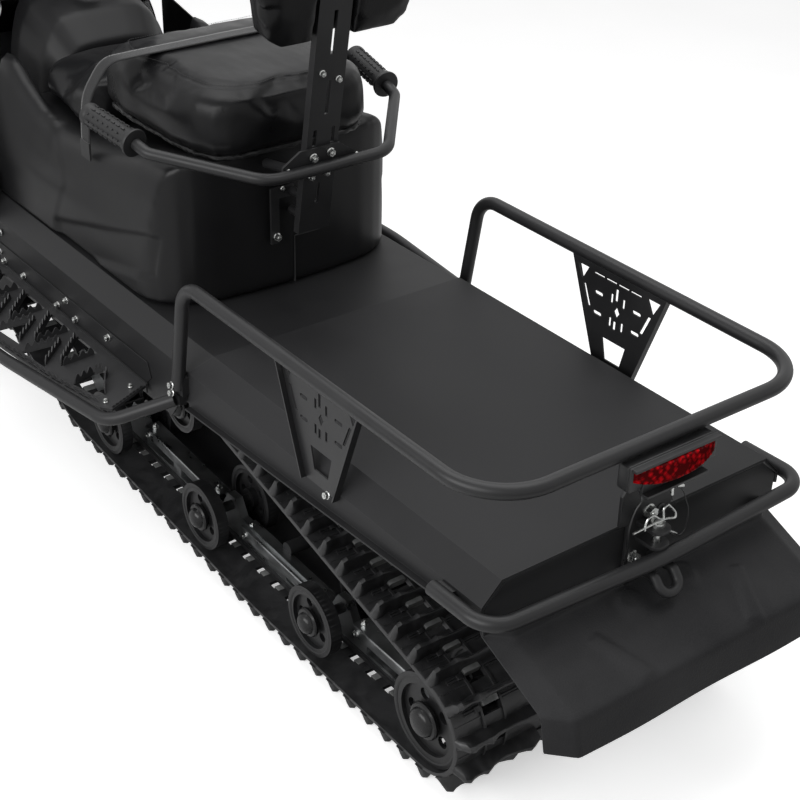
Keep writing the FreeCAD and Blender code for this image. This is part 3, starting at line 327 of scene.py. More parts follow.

# %% [markdown]
# Steel tubes are dipped in powder and baked, which leaves a fine orange peel and a satin shine.
# The deck and tunnel are aluminium sheet under a wrinkle paint: the wrinkles are half a
# millimetre apart, drawn at 1.2 mm here so that they show, and they scatter the light.

# %% Painted metal
# Each finish's third colour is its edge colour, partly wear and partly a painted highlight.
powder_coat = surface("powder_coated_steel", "1a1a1b", "222223", "4a4a4b", (0.34, 0.48), 1.6, 0.05,
                      gloss=0.3, wear_and_highlight=0.35)
wrinkle_paint = surface("wrinkle_painted_aluminium", "1d1d1e", "2c2c2d", "5a5a5b", (0.4, 0.64), 1.2,
                        0.10, slow_mm=420, gloss=0.15, wear_and_highlight=0.5, wear_and_highlight_mm=1.6)
board_coat = surface("satin_coated_board", "242425", "2d2d2e", "5c5c5d", (0.36, 0.5), 1.5, 0.05,
                     gloss=0.3, wear_and_highlight=0.5)
satin_paint = surface("satin_painted_aluminium", "19191a", "202021", "4c4c4d", (0.42, 0.54), 1.4,
                      0.05, slow_mm=220, gloss=0.24, wear_and_highlight=0.4)
print("painted metal:", powder_coat.name, wrinkle_paint.name, satin_paint.name)

# %% [markdown]
# Moulded parts differ by their tool. The saddle's shell is ABS with a fine leather grain, the
# snow flap is polyethylene with a coarse sandy grain, wheels are glass-filled nylon.

# %% Moulded plastics
shell_abs = surface("moulded_abs", "101011", "151516", "2c2c2d", (0.32, 0.44), 1.1, 0.05,
                    slow_mm=300, gloss=0.2, pattern="TexVoronoi", wear_and_highlight=0.2)
flap_plastic = surface("grained_polyethylene", "18181a", "333334", "464647", (0.4, 0.54), 2.6, 0.7,
                       slow_mm=200, gloss=0.12, wear_and_highlight=0.2)
wheel_nylon = surface("glass_filled_nylon", "111112", "1a1a1b", "3c3c3d", (0.34, 0.5), 1.5, 0.06,
                      slow_mm=30, gloss=0.34, wear_and_highlight=0.5)
cap_plastic = surface("polished_nylon_cap", "0e0e0f", "151516", "2e2e2f", (0.22, 0.34), 4.0, 0.01,
                      slow_mm=40, gloss=0.3, wear_and_highlight=0.2)
black_plastic = surface("fine_grained_abs", "141415", "1b1b1c", "3a3a3b", (0.35, 0.5), 1.3, 0.08,
                        slow_mm=90, gloss=0.45, wear_and_highlight=0.25)
hood_plastic = surface("painted_hood_abs", "0e0e0f", "141415", "2c2c2d", (0.16, 0.24), 3.0, 0.01,
                       slow_mm=300, gloss=0.5, wear_and_highlight=0.15, coat=0.5)
ski_plastic = surface("ski_polyethylene", "161617", "222223", "4c4c4d", (0.34, 0.55), 2.0, 0.06,
                      slow_mm=60, gloss=0.45, wear_and_highlight=0.7)

# %% Rubber, webbing and metals
track_rubber = surface("moulded_track_rubber", "1b1b1c", "2a2a2b", "4c4c4d", (0.3, 0.52), 2.2, 0.15,
                       slow_mm=25, gloss=0.42, wear_and_highlight=0.6, second=(9.0, 0.35))
grip_rubber = surface("grip_rubber", "121213", "1a1a1b", "303031", (0.45, 0.6), 1.2, 0.05,
                      slow_mm=40, gloss=0.4)
webbing = surface("polyester_webbing", "141415", "1e1e1f", "303031", (0.6, 0.8), 1.6, 0.4,
                  slow_mm=40, gloss=0.3, sheen=0.3)
zinc = surface("zinc_plated_steel", "a9abab", "c2c3c0", "dddddb", (0.2, 0.36), 2.0, 0.03,
               slow_mm=8, wear_and_highlight=0.6, metal=1.0)
clip_steel = surface("worn_clip_steel", "6f7070", "8b8c8b", "b4b5b4", (0.34, 0.5), 2.0, 0.08,
                     slow_mm=12, wear_and_highlight=0.6, metal=0.45, gloss=0.4)
aluminium = surface("extruded_aluminium", "9a9c9d", "b4b6b7", "d5d6d7", (0.24, 0.42), 1.5, 0.04,
                    slow_mm=35, wear_and_highlight=0.6, metal=1.0)
cast_aluminium = surface("cast_aluminium", "55575a", "6b6d70", "8f9194", (0.45, 0.6), 2.2, 0.25,
                         slow_mm=60, metal=1.0)
bright_cup = surface("metallised_reflector", "c9cacc", "d6d7d9", "eeeeee", (0.06, 0.12), 4.0, 0.01,
                     slow_mm=30, metal=1.0, wear_and_highlight=0.2)
print("finishes so far:", len(bpy.data.materials))

# %% [markdown]
# The headlight lenses and the screen let light through. The tail light's red acrylic lies over a
# mirror of small cells, whose sparkle is painted into its colour: bright cells are painted glints,
# dark cells the acrylic's own deep red.

# %% Clear plastics
def clear_plastic(name, tint, drift, rough, through, ripple_mm=0.0, shine=0.5, glint_cell_mm=0.0):
    """A clear or tinted plastic, plain, rippled like a lens or broken into cells of painted glints.
    """
    finish, tree, shader, place = new_finish(name)
    # Cells of the second colour are painted glints; without cells it is a slow drift of tint.
    if glint_cell_mm:
        drift_and_glints = spread(tree, grain(tree, place, glint_cell_mm, kind="TexVoronoi"), 1.0, 0.0, 0.1, 0.6)
    else:
        drift_and_glints = spread(tree, grain(tree, place, 60.0), 0.0, 0.15)
    tint_and_glints = mixed(tree, drift_and_glints, colour(tint), colour(drift))
    tree.links.new(tint_and_glints, shader.inputs["Base Color"])
    shader.inputs["Roughness"].default_value = rough
    shader.inputs["IOR"].default_value = 1.49
    shader.inputs["Specular IOR Level"].default_value = shine
    shader.inputs["Transmission Weight"].default_value = through
    if ripple_mm:
        ripple = add(tree, "TexWave", {"Vector": place, "Scale": 1000.0 / ripple_mm / 6.3},
                     wave_type="BANDS", bands_direction="Y", wave_profile="SIN")
        bump = add(tree, "Bump", {"Height": ripple.outputs[0], "Distance": 0.3 * MM})
        tree.links.new(bump.outputs["Normal"], shader.inputs["Normal"])
    return finish


# The bright red, e8101c, is painted glints from the reflector's cells; the dark red is the
# acrylic's own colour.
red_acrylic = clear_plastic("red_acrylic", "5c0004", "e8101c", 0.2, 0.0, shine=0.05, glint_cell_mm=9.0)
smoked_screen = clear_plastic("smoked_polycarbonate", "3c4044", "4a4e52", 0.06, 0.9)
clear_lens = clear_plastic("clear_polycarbonate", "e8ecee", "ffffff", 0.04, 1.0, ripple_mm=9.0)

# %% [markdown]
# Seat vinyl is a knitted cloth with a skin of soft plastic. It is embossed like leather, about two
# and a half millimetres from cell to cell, and it shines more where it is rubbed. Wrinkles run out
# from the sewn edge, so a stretched noise adds them to the bump.

# %% Seat vinyl
def seat_vinyl(name):
    """Embossed vinyl with wrinkles."""
    finish, tree, shader, place = new_finish(name)
    cells = grain(tree, place, 2.6, kind="TexVoronoi")
    rubbed = grain(tree, place, 90.0, detail=3.0)
    pulled = add(tree, "Mapping", {"Vector": place, "Scale": (0.45, 1.0, 0.8)}).outputs[0]
    wrinkles = grain(tree, pulled, 34.0, detail=1.0)
    tone = mixed(tree, spread(tree, rubbed, 0.0, 1.0), colour("101011"), colour("171718"))
    tree.links.new(tone, shader.inputs["Base Color"])
    tree.links.new(spread(tree, rubbed, 0.26, 0.4), shader.inputs["Roughness"])
    shader.inputs["Specular IOR Level"].default_value = 0.15
    fine = add(tree, "Bump", {"Height": cells, "Strength": 0.6, "Distance": 0.12 * MM})
    soft = add(tree, "Bump", {"Height": wrinkles, "Strength": 0.7, "Distance": 1.6 * MM,
                              "Normal": fine.outputs["Normal"]})
    tree.links.new(soft.outputs["Normal"], shader.inputs["Normal"])
    return finish


vinyl = seat_vinyl("embossed_vinyl")
thread = surface("bonded_thread", "2e2e2f", "3a3a3b", "4a4a4b", (0.5, 0.7), 1.0, 0.05, gloss=0.3)
dark_tape = surface("dark_moulded_band", "0c0c0d", "131314", "2a2a2b", (0.35, 0.5), 2.0, 0.2,
                    gloss=0.4, wear_and_highlight=0.2)
print("finishes:", len(bpy.data.materials))

# %% [markdown]
# ## Parts that keep their solids
# Where a CAD solid already has the right shape, it only needs its finish. Its mesh stays as it is.

# %% Dress the kept solids
DRESSED = (
    (powder_coat, ("cargo_rail", "rear_bumper", "grab_bar", "footrest_tubes", "suspension_arms",
                   "front_bumper", "front_arms", "spindle_left", "spindle_right", "handlebar",
                   "steering_bearing")),
    (zinc, ("tow_pin", "track_dampers", "front_dampers", "tie_rod_left", "tie_rod_right")),
    (wheel_nylon, ("suspension_wheels", "carrier_wheels", "drive_axle")),
    (board_coat, ("running_boards",)), (aluminium, ("slide_rails",)), (cast_aluminium, ("engine",)),
    (clear_lens, ("headlight_lenses",)), (bright_cup, ("headlight_bowls",)),
    (grip_rubber, ("handlebar_grips",)))
for finish, nodes in DRESSED:
    for node in nodes:
        CAD[node].data.materials.clear()
        CAD[node].data.materials.append(finish)
print("dressed:", sum(len(nodes) for _, nodes in DRESSED), "of", len(CAD))

# %% [markdown]
# ## The saddle's body
# On the real machine this is one hollow ABS moulding: soft corners, sides that bulge over the
# deck, a shallow pressed panel on each flank and raised panels for the rider's knees. A bevel
# can't give corners whose radius changes all the time. So the solid is copied, remeshed into
# small even squares and smoothed, as clay would be, and then pushed by a few millimetres where
# the real tool has its panels.

# %% Copy, remesh and push
def copy_of(node):
    """A merged copy of a CAD node, with its triangles joined back into flat faces."""
    bm = bmesh.new()
    bm.from_mesh(CAD[node].data)
    bmesh.ops.remove_doubles(bm, verts=bm.verts, dist=0.02 * MM)
    bmesh.ops.dissolve_limit(bm, angle_limit=math.radians(1), verts=bm.verts, edges=bm.edges)
    return bm


def evaluated(thing):
    """The mesh that an object shows, with its modifiers applied, as a new bmesh."""
    shape = bpy.context.evaluated_depsgraph_get()
    mesh = bpy.data.meshes.new_from_object(thing.evaluated_get(shape))
    bm = bmesh.new()
    bm.from_mesh(mesh)
    bpy.data.meshes.remove(mesh)
    return bm


def reshaped(bm, kind, **settings):
    """The form that one modifier makes of a bmesh, as a new bmesh."""
    mesh = baked(bm, "clay")
    clay = link("clay", mesh)
    modifier = clay.modifiers.new("change", kind)
    for key, value in settings.items():
        setattr(modifier, key, value)
    result = evaluated(clay)
    bpy.data.objects.remove(clay)
    bpy.data.meshes.remove(mesh)
    return result


def remeshed(bm, voxel):
    """The same closed form in even squares of voxel millimetres."""
    return reshaped(bm, "REMESH", mode="VOXEL", voxel_size=voxel * MM)


def smoothed(bm, passes):
    """Even out a form, as a thumb does clay."""
    for _ in range(passes):
        bmesh.ops.smooth_vert(bm, verts=bm.verts, factor=0.5, use_axis_x=True, use_axis_y=True,
                              use_axis_z=True)

# %% Places on the machine and soft slopes
def deck_place(point):
    """A point's x from the deck's rear edge, y, and z over the deck, in millimetres."""
    return (point.x - DECK_REAR) / MM, point.y / MM, point.z / MM - DECK_TOP


def inside_by(x, z, outline):
    """How far a point lies inside a closed outline; below zero outside."""
    inside = False
    nearest = 1e9
    for (x1, z1), (x2, z2) in zip(outline, outline[1:] + outline[:1]):
        if (z1 > z) != (z2 > z) and x < (x2 - x1) * (z - z1) / (z2 - z1) + x1:
            inside = not inside
        part = ((x - x1) * (x2 - x1) + (z - z1) * (z2 - z1)) / ((x2 - x1) ** 2 + (z2 - z1) ** 2)
        part = min(1.0, max(0.0, part))
        nearest = min(nearest, math.hypot(x - x1 - part * (x2 - x1), z - z1 - part * (z2 - z1)))
    return nearest if inside else -nearest


def ramp(value, low, high):
    """0 below low, 1 above high, and a soft slope between."""
    part = min(1.0, max(0.0, (value - low) / (high - low)))
    return part * part * (3 - 2 * part)

# %% Shape the body
FLANK = [(1422, 34), (1050, 138), (1018, 138), (1034, 54), (1400, -30)]
KNEE = [(1380, 120), (1482, 228), (1557, 296), (1760, 330), (1760, -20), (1440, -20)]
bm = remeshed(copy_of("seat_base"), 6.0)
smoothed(bm, 7)
moved = 0
for vert in bm.verts:
    x, y, z = deck_place(vert.co)
    side = 1 if y > 0 else -1
    if abs(y) > 190 and z < 290:
        flank = ramp(inside_by(x, z, FLANK), -5, 7)
        knee = ramp(inside_by(x, z, KNEE), -8, 8)
        vert.co.y += side * (3.0 * knee - 6.0 * flank) * MM
        moved += 1
    if x < 1010 and z < 112:
        vert.co.x += 2.2 * MM * (1 - ramp(abs(y + 3), 1.0, 6.0))
    if z < 14:
        vert.co.y += side * 2.5 * MM * (1 - ramp(z, 2, 14))
smoothed(bm, 1)
saddle_body = finish_piece("saddle_body", bm, shell_abs, ("seat_base",), 60)
print("saddle body:", face_count(saddle_body), "triangles,", moved, "points on its flanks")
bm = bmesh.new()
add_block(bm, at(960.4, -4.2, 502), at(966, -2.4, 600))
add_block(bm, at(960.6, -60, 598.4), at(966, -2.4, 600))
finish_piece("saddle_part_line", bm, webbing)

# %% [markdown]
# ## Cushions
# A seat cushion is cut foam with vinyl pulled tightly over it: a top panel sewn to a side wall,
# tucked under a tray at the bottom. Blender's Cloth, with pressure inside and no gravity, fills
# a slightly smaller copy of the solid in the same way: flat places crown, and corners stay tight.
# The bottom is pinned, because it sits on its tray, and no point may move more than a cap.

# %% Fill a cushion
CLOTH_STEPS = 20


def filled(node, shrink, cap, tuck, flat_low):
    """A cushion's form: tucked in at the bottom, then blown up a little by Cloth."""
    bm = remeshed(copy_of(node), 7.0)
    smoothed(bm, 3)
    bm.normal_update()
    low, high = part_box(node)
    middle = (low + high) / 2
    for vert in bm.verts:
        vert.co -= vert.normal * shrink * MM
        near_low = 1 - ramp((vert.co.z - low.z) / MM, 0, 26)
        inward = Vector((middle.x - vert.co.x, middle.y - vert.co.y, 0))
        if inward.length > 0.06:
            vert.co += inward.normalized() * tuck * near_low * MM
    mesh = baked(bm, node + "_foam")
    foam = link(node + "_foam", mesh)
    start = [vert.co.copy() for vert in mesh.vertices]
    pinned = foam.vertex_groups.new(name="pinned")
    flat = [index for index, point in enumerate(start) if point.z < low.z + flat_low * MM]
    pinned.add(flat, 1.0, "REPLACE")
    cloth = foam.modifiers.new("cloth", "CLOTH")
    cloth.settings.vertex_group_mass = "pinned"
    cloth.settings.quality = 5
    cloth.settings.use_pressure = True
    cloth.settings.uniform_pressure_force = 1.2
    cloth.settings.effector_weights.gravity = 0.0
    cloth.collision_settings.use_collision = False
    for step in range(1, CLOTH_STEPS + 1):
        bpy.context.scene.frame_set(step)
    bm = evaluated(foam)
    bm.verts.ensure_lookup_table()
    for vert, old in zip(bm.verts, start):
        move = vert.co - old
        if move.length > cap * MM:
            vert.co = old + move.normalized() * cap * MM
    bpy.context.scene.frame_set(1)
    bpy.data.objects.remove(foam)
    bpy.data.meshes.remove(mesh)
    return bm

# %% [markdown]
# A seam is found by cutting the finished cushion with a plane and keeping the line of the cut.
# The vinyl is pressed in along it, and short stitches, 5 mm apart, are laid beside it.

# %% Find a seam
def seam_line(bm, spot, normal):
    """The closed line where a plane cuts a form, as points in order."""
    cut = bm.copy()
    geom = cut.verts[:] + cut.edges[:] + cut.faces[:]
    made = bmesh.ops.bisect_plane(cut, geom=geom, plane_co=spot, plane_no=normal, dist=1e-6)
    edges = [item for item in made["geom_cut"] if isinstance(item, bmesh.types.BMEdge)]
    beside = {}
    for edge in edges:
        first, last = edge.verts
        beside.setdefault(first, []).append(last)
        beside.setdefault(last, []).append(first)
    loops = []
    left = dict.fromkeys(beside)
    while left:
        here = next(iter(left))
        loop = []
        while here is not None:
            del left[here]
            loop.append(here.co.copy())
            here = next((vert for vert in beside[here] if vert in left), None)
        loops.append(loop)
    cut.free()
    return max(loops, key=len)


def even_steps(loop, spacing):
    """Points at an even spacing in millimetres along a closed line, and the way it runs there."""
    result = []
    carry = 0.0
    for first, last in zip(loop, loop[1:] + loop[:1]):
        length = (last - first).length / MM
        while carry < length:
            part = carry / length if length else 0
            result.append((first.lerp(last, part), (last - first).normalized()))
            carry += spacing
        carry -= length
    return result

# %% Press and stitch a seam
SEAM_WIDE = 7.0
SEAM_DEEP = 1.8
STITCH = 5.2
THREAD = 0.65


def press_seam(bm, loop):
    """Press a sewn line into a cushion."""
    tree = kdtree.KDTree(len(loop))
    for index, point in enumerate(loop):
        tree.insert(point, index)
    tree.balance()
    bm.normal_update()
    for vert in bm.verts:
        away = tree.find(vert.co)[2] / MM
        if away < SEAM_WIDE:
            vert.co -= vert.normal * SEAM_DEEP * MM * (1 - ramp(away, 0, SEAM_WIDE))


def stitch_row(bm, loop, aside, middle):
    """Short stitches along a seam, aside millimetres above or below it."""
    for spot, run in even_steps(loop, STITCH):
        if run.length < 0.5:
            continue
        outward = Vector((spot.x - middle.x, spot.y - middle.y, 0)).normalized()
        place = spot + Vector((0, 0, aside * MM)) + outward * 0.2 * MM
        made = bmesh.ops.create_icosphere(bm, subdivisions=1, radius=1.0)["verts"]
        shape = Matrix.Diagonal((THREAD * MM, THREAD * MM, STITCH * 0.36 * MM, 1))
        put(bm, turned_to(place, run) @ shape, made)

# %% The two seat cushions
def make_cushion(name, node, seam_down, tuck):
    """One finished cushion: its filled form, its seam and its stitches."""
    low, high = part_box(node)
    middle = (low + high) / 2
    bm = reshaped(filled(node, 3.0, 9.0, tuck, 8.0), "SUBSURF", levels=1, render_levels=1)
    top = max(vert.co.z for vert in bm.verts)
    spot = Vector((middle.x, middle.y, top - seam_down * MM))
    loop = seam_line(bm, spot, UP)
    press_seam(bm, loop)
    cushion = finish_piece(name, bm, vinyl, (node,), 80)
    sewn = bmesh.new()
    for aside in (3.4, -3.4):
        stitch_row(sewn, loop, aside, middle)
    finish_piece(name + "_stitches", sewn, thread, crease=80)
    heights = [vert.co.z for vert in cushion.data.vertices]
    print(name, face_count(cushion), "triangles,", len(even_steps(loop, STITCH)), "stitches a row,",
          round((max(heights) - min(heights)) / MM), "mm tall")


make_cushion("passenger_cushion", "passenger_seat", 13.0, 11.0)
make_cushion("driver_cushion", "driver_seat", 12.0, 6.0)

# %% [markdown]
# The backrest pad is the same kind of thing standing up. Its seam runs round its edge, so the
# cutting plane stands up as well, square to the pad's lean.

# %% The backrest pad
LEAN = 0.167
PAD_HIGH = 1130
bm = reshaped(filled("backrest_pad", 2.5, 7.0, 0.0, -50.0), "SUBSURF", levels=1, render_levels=1)
pad_seam = seam_line(bm, at(868 - (PAD_HIGH - 960) * LEAN, 0, PAD_HIGH),
                     Vector((1.0, 0.0, LEAN)).normalized())
press_seam(bm, pad_seam)
backrest_cushion = finish_piece("backrest_cushion", bm, vinyl, ("backrest_pad",), 80)
print("backrest cushion:", face_count(backrest_cushion), "triangles, seam", len(pad_seam), "points")

# %% [markdown]
# Under the passenger's cushion the vinyl is folded round a moulded tray and stapled. The fold is
# uneven, so the hem is a ring that wanders a little, with a staple every 24 mm.

# %% Tray and stapled hem
random.seed(4)
bm = bmesh.new()
low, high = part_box("passenger_seat")
form = remeshed(copy_of("passenger_seat"), 9.0)
rim = seam_line(form, Vector((0, 0, low.z + 14 * MM)), UP)
form.free()
middle = (low + high) / 2
rings = []
for spot, _ in even_steps(rim, 8.0):
    inward = Vector((middle.x - spot.x, middle.y - spot.y, 0)).normalized()
    wander = random.uniform(-1.2, 1.2)
    ring = []
    for inset, lift in ((17, 1), (13, 0.5), (10.5, 4.5), (11.5, 8), (15, 9.5)):
        offset = inward * (inset + wander) * MM
        place = Vector((spot.x, spot.y, low.z + (lift - 4.5 + wander * 0.4) * MM))
        ring.append(bm.verts.new(place + offset))
    rings.append([bm.edges.new(pair) for pair in zip(ring, ring[1:])])
bridge(bm, rings + rings[:1])
bmesh.ops.solidify(bm, geom=bm.faces[:], thickness=1.4 * MM)
for spot, run in even_steps(rim, 24.0):
    inward = Vector((middle.x - spot.x, middle.y - spot.y, 0)).normalized()
    place = Vector((spot.x, spot.y, low.z + 0.5 * MM)) + inward * 9.6 * MM
    turn = Matrix.Translation(place) @ run.to_track_quat("X", "Z").to_matrix().to_4x4()
    made = bmesh.ops.create_cube(bm, size=1.0)["verts"]
    put(bm, turn @ Matrix.Diagonal((7 * MM, 0.9 * MM, 1.0 * MM, 1)), made)
seat_hem = finish_piece("seat_hem", bm, dark_tape, crease=50)
print("hem:", face_count(seat_hem), "triangles")

# %% [markdown]
# ## The track
# A snowmobile track is one moulded rubber loop: a thin belt in three bands, joined by a bar at
# every pitch, with a tall lug across each bar and a drive window between two bars. A steel clip
# wraps each bar where the sprocket's teeth push. Only one pitch is modelled, lying flat. Its
# copies are then laid along the loop, each point by its distance along the belt, so a copy bends
# where the belt goes round a wheel.

# %% The loop that the belt's inner face follows
# Each guide circle has its x, its z and its radius.
GUIDES = [(150.0, 127.0, 87.0), (919.0, 344.0, 58.0), (1720.0, 300.0, 85.0), (1330.0, 340.0, 260.0),
          (640.0, 1240.0, 1200.0)]
LUGS = 72
HALF_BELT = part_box("track")[1].y / MM


def loop_runs():
    """The arc round each guide circle and the straight run to the next."""
    headings = []
    pairs = list(zip(GUIDES, GUIDES[1:] + GUIDES[:1]))
    for (x1, z1, r1), (x2, z2, r2) in pairs:
        span = math.hypot(x2 - x1, z2 - z1)
        headings.append(math.atan2(z2 - z1, x2 - x1) + math.pi / 2 - math.asin((r1 - r2) / span))
    runs = []
    for step, ((x1, z1, r1), (x2, z2, r2)) in enumerate(pairs):
        arriving, leaving = headings[step - 1], headings[step]
        runs.append(((arriving - leaving) % (2 * math.pi) * r1, x1, z1, r1, arriving))
        start = (x1 + r1 * math.cos(leaving), z1 + r1 * math.sin(leaving))
        end = (x2 + r2 * math.cos(leaving), z2 + r2 * math.sin(leaving))
        runs.append((math.dist(start, end), start, end, None, leaving))
    return runs


LOOP = loop_runs()
LOOP_LONG = sum(run[0] for run in LOOP)
PITCH = LOOP_LONG / LUGS


def on_loop(along, out, y):
    """A point at a distance along the loop, out from the belt's inner face."""
    left = along % LOOP_LONG
    for length, first, second, radius, heading in LOOP:
        if left > length:
            left -= length
            continue
        if radius is not None:
            angle, far = heading - left / radius, radius + out
            return at(first + far * math.cos(angle), y, second + far * math.sin(angle))
        part = left / length
        return at(first[0] + (second[0] - first[0]) * part + out * math.cos(heading), y,
                  first[1] + (second[1] - first[1]) * part + out * math.sin(heading))
    return at(0, y, 0)


print("loop %.0f mm, pitch %.2f mm" % (LOOP_LONG, PITCH))

# %% Blocks and bars lying flat: x along the belt, y across it, z out of it
LUG_AT = PITCH * 0.55
PHASE = -PITCH * 0.55
WINDOW = (202.0, 240.0)


def flat_block(bm, x0, x1, y0, y1, z0, z1, cuts=0, open_ends=False, soften=0.0):
    """A block in flat millimetres, cut across so that it can bend."""
    block = bmesh.new()
    add_block(block, Vector((x0, y0, z0)), Vector((x1, y1, z1)))
    along = [edge for edge in block.edges if abs(edge.verts[0].co.x - edge.verts[1].co.x) > 0.5]
    if soften:
        upper = [edge for edge in along if edge.verts[0].co.z > z1 - 0.01]
        bmesh.ops.bevel(block, geom=upper, offset=soften, offset_type="OFFSET", segments=2,
                        profile=0.5, affect="EDGES", material=-1)
    if open_ends:
        ends = [face for face in block.faces if abs(face.normal.x) > 0.9]
        bmesh.ops.delete(block, geom=ends, context="FACES_ONLY")
    if cuts:
        along = [edge for edge in block.edges if abs(edge.verts[0].co.x - edge.verts[1].co.x) > 0.5]
        bmesh.ops.subdivide_edges(block, edges=along, cuts=cuts)
    mesh = baked(block, "block")
    bm.from_mesh(mesh)
    bpy.data.meshes.remove(mesh)


def lug_bar(bm, rows, middle, low):
    """A wavy bar across the belt: (y, height, half width at the crest, half width at the foot)."""
    loops = []
    for y, high, crest, foot in rows:
        side = [(crest * 0.4, high), (crest, high - 1.5), ((crest + foot) / 2, (low + high) / 2),
                (foot, low), (foot, low - 1)]
        ring = [(-x, z) for x, z in reversed(side)] + side
        loops.append([bm.verts.new((middle + x, y, z)) for x, z in ring])
    bridge(bm, [[bm.edges.new(pair) for pair in zip(loop, loop[1:] + loop[:1])] for loop in loops])
    bm.faces.new(loops[0])
    bm.faces.new(loops[-1])

# %% One pitch of the belt
THICK = 8.0
OUTER_ROWS = [(302, 9, 1.0, 8), (299, 20, 2.0, 9), (293, 35, 3.5, 10), (285, 39, 4.0, 9),
              (276, 36, 3.2, 7), (266, 35, 2.6, 6), (257, 36, 3.4, 7), (250, 39, 4.6, 8),
              (242, 36, 3.4, 7), (232, 32, 2.6, 6), (218, 30, 2.4, 6), (204, 29, 2.4, 6),
              (190, 31, 2.4, 6), (176, 34, 2.6, 6), (167, 36, 3.4, 7), (158, 39, 4.6, 8),
              (148, 36, 3.4, 7), (132, 29, 2.4, 6)]
MIDDLE_ROWS = [(102, 27, 2.4, 6), (90, 34, 3.0, 7), (78, 38, 4.6, 8), (66, 34, 3.0, 7),
               (48, 30, 2.4, 6), (30, 30, 2.4, 6), (14, 35, 3.0, 7), (0, 39, 4.6, 8)]
flat = bmesh.new()
flat_block(flat, 0, PITCH, WINDOW[1], HALF_BELT, 0, THICK, cuts=3, open_ends=True, soften=2.6)
flat_block(flat, 0, PITCH, 0, WINDOW[0], 0, THICK, cuts=3, open_ends=True)
flat_block(flat, LUG_AT - 10, LUG_AT + 23, WINDOW[0] - 1, WINDOW[1] + 1, 0.4, THICK - 0.4, cuts=2)
lug_bar(flat, OUTER_ROWS, LUG_AT, THICK)
lug_bar(flat, MIDDLE_ROWS, LUG_AT, THICK)
for x, deep in ((LUG_AT - 13.0, 3.2), (LUG_AT - 17.0, 2.2)):
    flat_block(flat, x, x + 1.8, WINDOW[1] + 2, 274, THICK - 0.5, THICK + deep)
    flat_block(flat, x, x + 1.8, 20, WINDOW[0] - 3, THICK - 0.5, THICK + deep)
for low_y, high_y in ((243, 254), (150, 160)):
    flat_block(flat, LUG_AT - 18, LUG_AT - 10, low_y, high_y, THICK - 0.5, THICK + 4.5, soften=1.5)
flat_block(flat, 1.0, 2.8, WINDOW[1] + 3, HALF_BELT - 3, THICK - 0.5, THICK + 1.2)
for low_y in (WINDOW[0] - 4.0, WINDOW[1]):
    flat_block(flat, 0, PITCH, low_y, low_y + 4.0, THICK - 1, THICK + 3.0, cuts=3, open_ends=True)
everything = flat.verts[:] + flat.edges[:] + flat.faces[:]
bmesh.ops.mirror(flat, geom=everything, axis="Y", merge_dist=0.01)
pitch_mesh = baked(flat, "one_pitch")
print("one pitch:", len(pitch_mesh.polygons), "faces")

# %% Seventy-two pitches round the loop
def lay_round(mesh, name, finish, instead_of=()):
    """Every pitch's copy of a flat mesh, bent round the loop."""
    whole = bmesh.new()
    for lug in range(LUGS):
        before = len(whole.verts)
        whole.from_mesh(mesh)
        whole.verts.ensure_lookup_table()
        for vert in whole.verts[before:]:
            x, y, z = vert.co
            vert.co = on_loop(x + PHASE + lug * PITCH, z, y)
    bmesh.ops.remove_doubles(whole, verts=whole.verts, dist=0.03 * MM)
    return finish_piece(name, whole, finish, instead_of, 38)


track_loop = lay_round(pitch_mesh, "track_loop", track_rubber, ("track",))
clip = bmesh.new()
for low_y in (WINDOW[0] + 2.0, -WINDOW[1] + 2.0):
    for x0, x1, z0, z1, soft in ((-13.5, 1.5, THICK - 0.4, THICK + 5.6, 3.6),
                                 (-12.5, -10.5, -1.4, THICK + 1.6, 0), (-12.0, 2, -1.6, -0.2, 0)):
        flat_block(clip, LUG_AT + x0, LUG_AT + x1, low_y, low_y + 34, z0, z1, soften=soft)
clips = lay_round(baked(clip, "one_clip"), "track_clips", clip_steel)
print("track:", face_count(track_loop), "triangles, clips:", face_count(clips))

# %% [markdown]
# ## Wheels of the suspension
# Each bogie wheel is a moulded nylon disc with a rubber tyre, and a smooth domed cap over its
# bearing. The discs keep their solids. The tyres and caps are turned: a half outline is spun
# once round the axle, as on a lathe.

# %% Tyres, caps and bolts
def wheel_dress(bm, caps, x, y, z, radius, hub):
    """A rubber tyre and, on the outer side, a domed cap."""
    side = 1 if y >= 0 else -1
    axis = Vector((0, side, 0))
    inner = at(x, y, z) - axis * 13.5 * MM
    rim = radius - 7
    add_turned(bm, inner, axis, [(rim - 3, 1.0), (rim, 0.0), (radius - 1.5, 1.5), (radius, 4.5),
                                 (radius, 22.5), (radius - 1.5, 25.5), (rim, 27.0), (rim - 3, 26.0),
                                 (rim - 3.5, 13.5), (rim - 3, 1.0)], sides=44)
    if abs(y) > 200:
        dome = [(hub + 8, 0.0), (hub + 8, 4.0), (hub + 6, 7.0), (hub + 1, 8.0), (hub - 0.5, 12.5),
                (hub - 4, 16.5), (hub - 9, 18.8), (5, 19.8), (0, 20)]
        add_turned(caps, at(x, y, z) + axis * 11 * MM, axis, dome, sides=32)


def belt_height(x):
    """How high the belt's inner face lies on its lower run, in millimetres."""
    steps = range(int(LOOP_LONG * 0.45 / 6), int(LOOP_LONG / 6))
    spots = [on_loop(step * 6.0, 0, 0) for step in steps]
    return min(spots, key=lambda spot: abs(spot.x - at(x, 0, 0).x)).z / MM


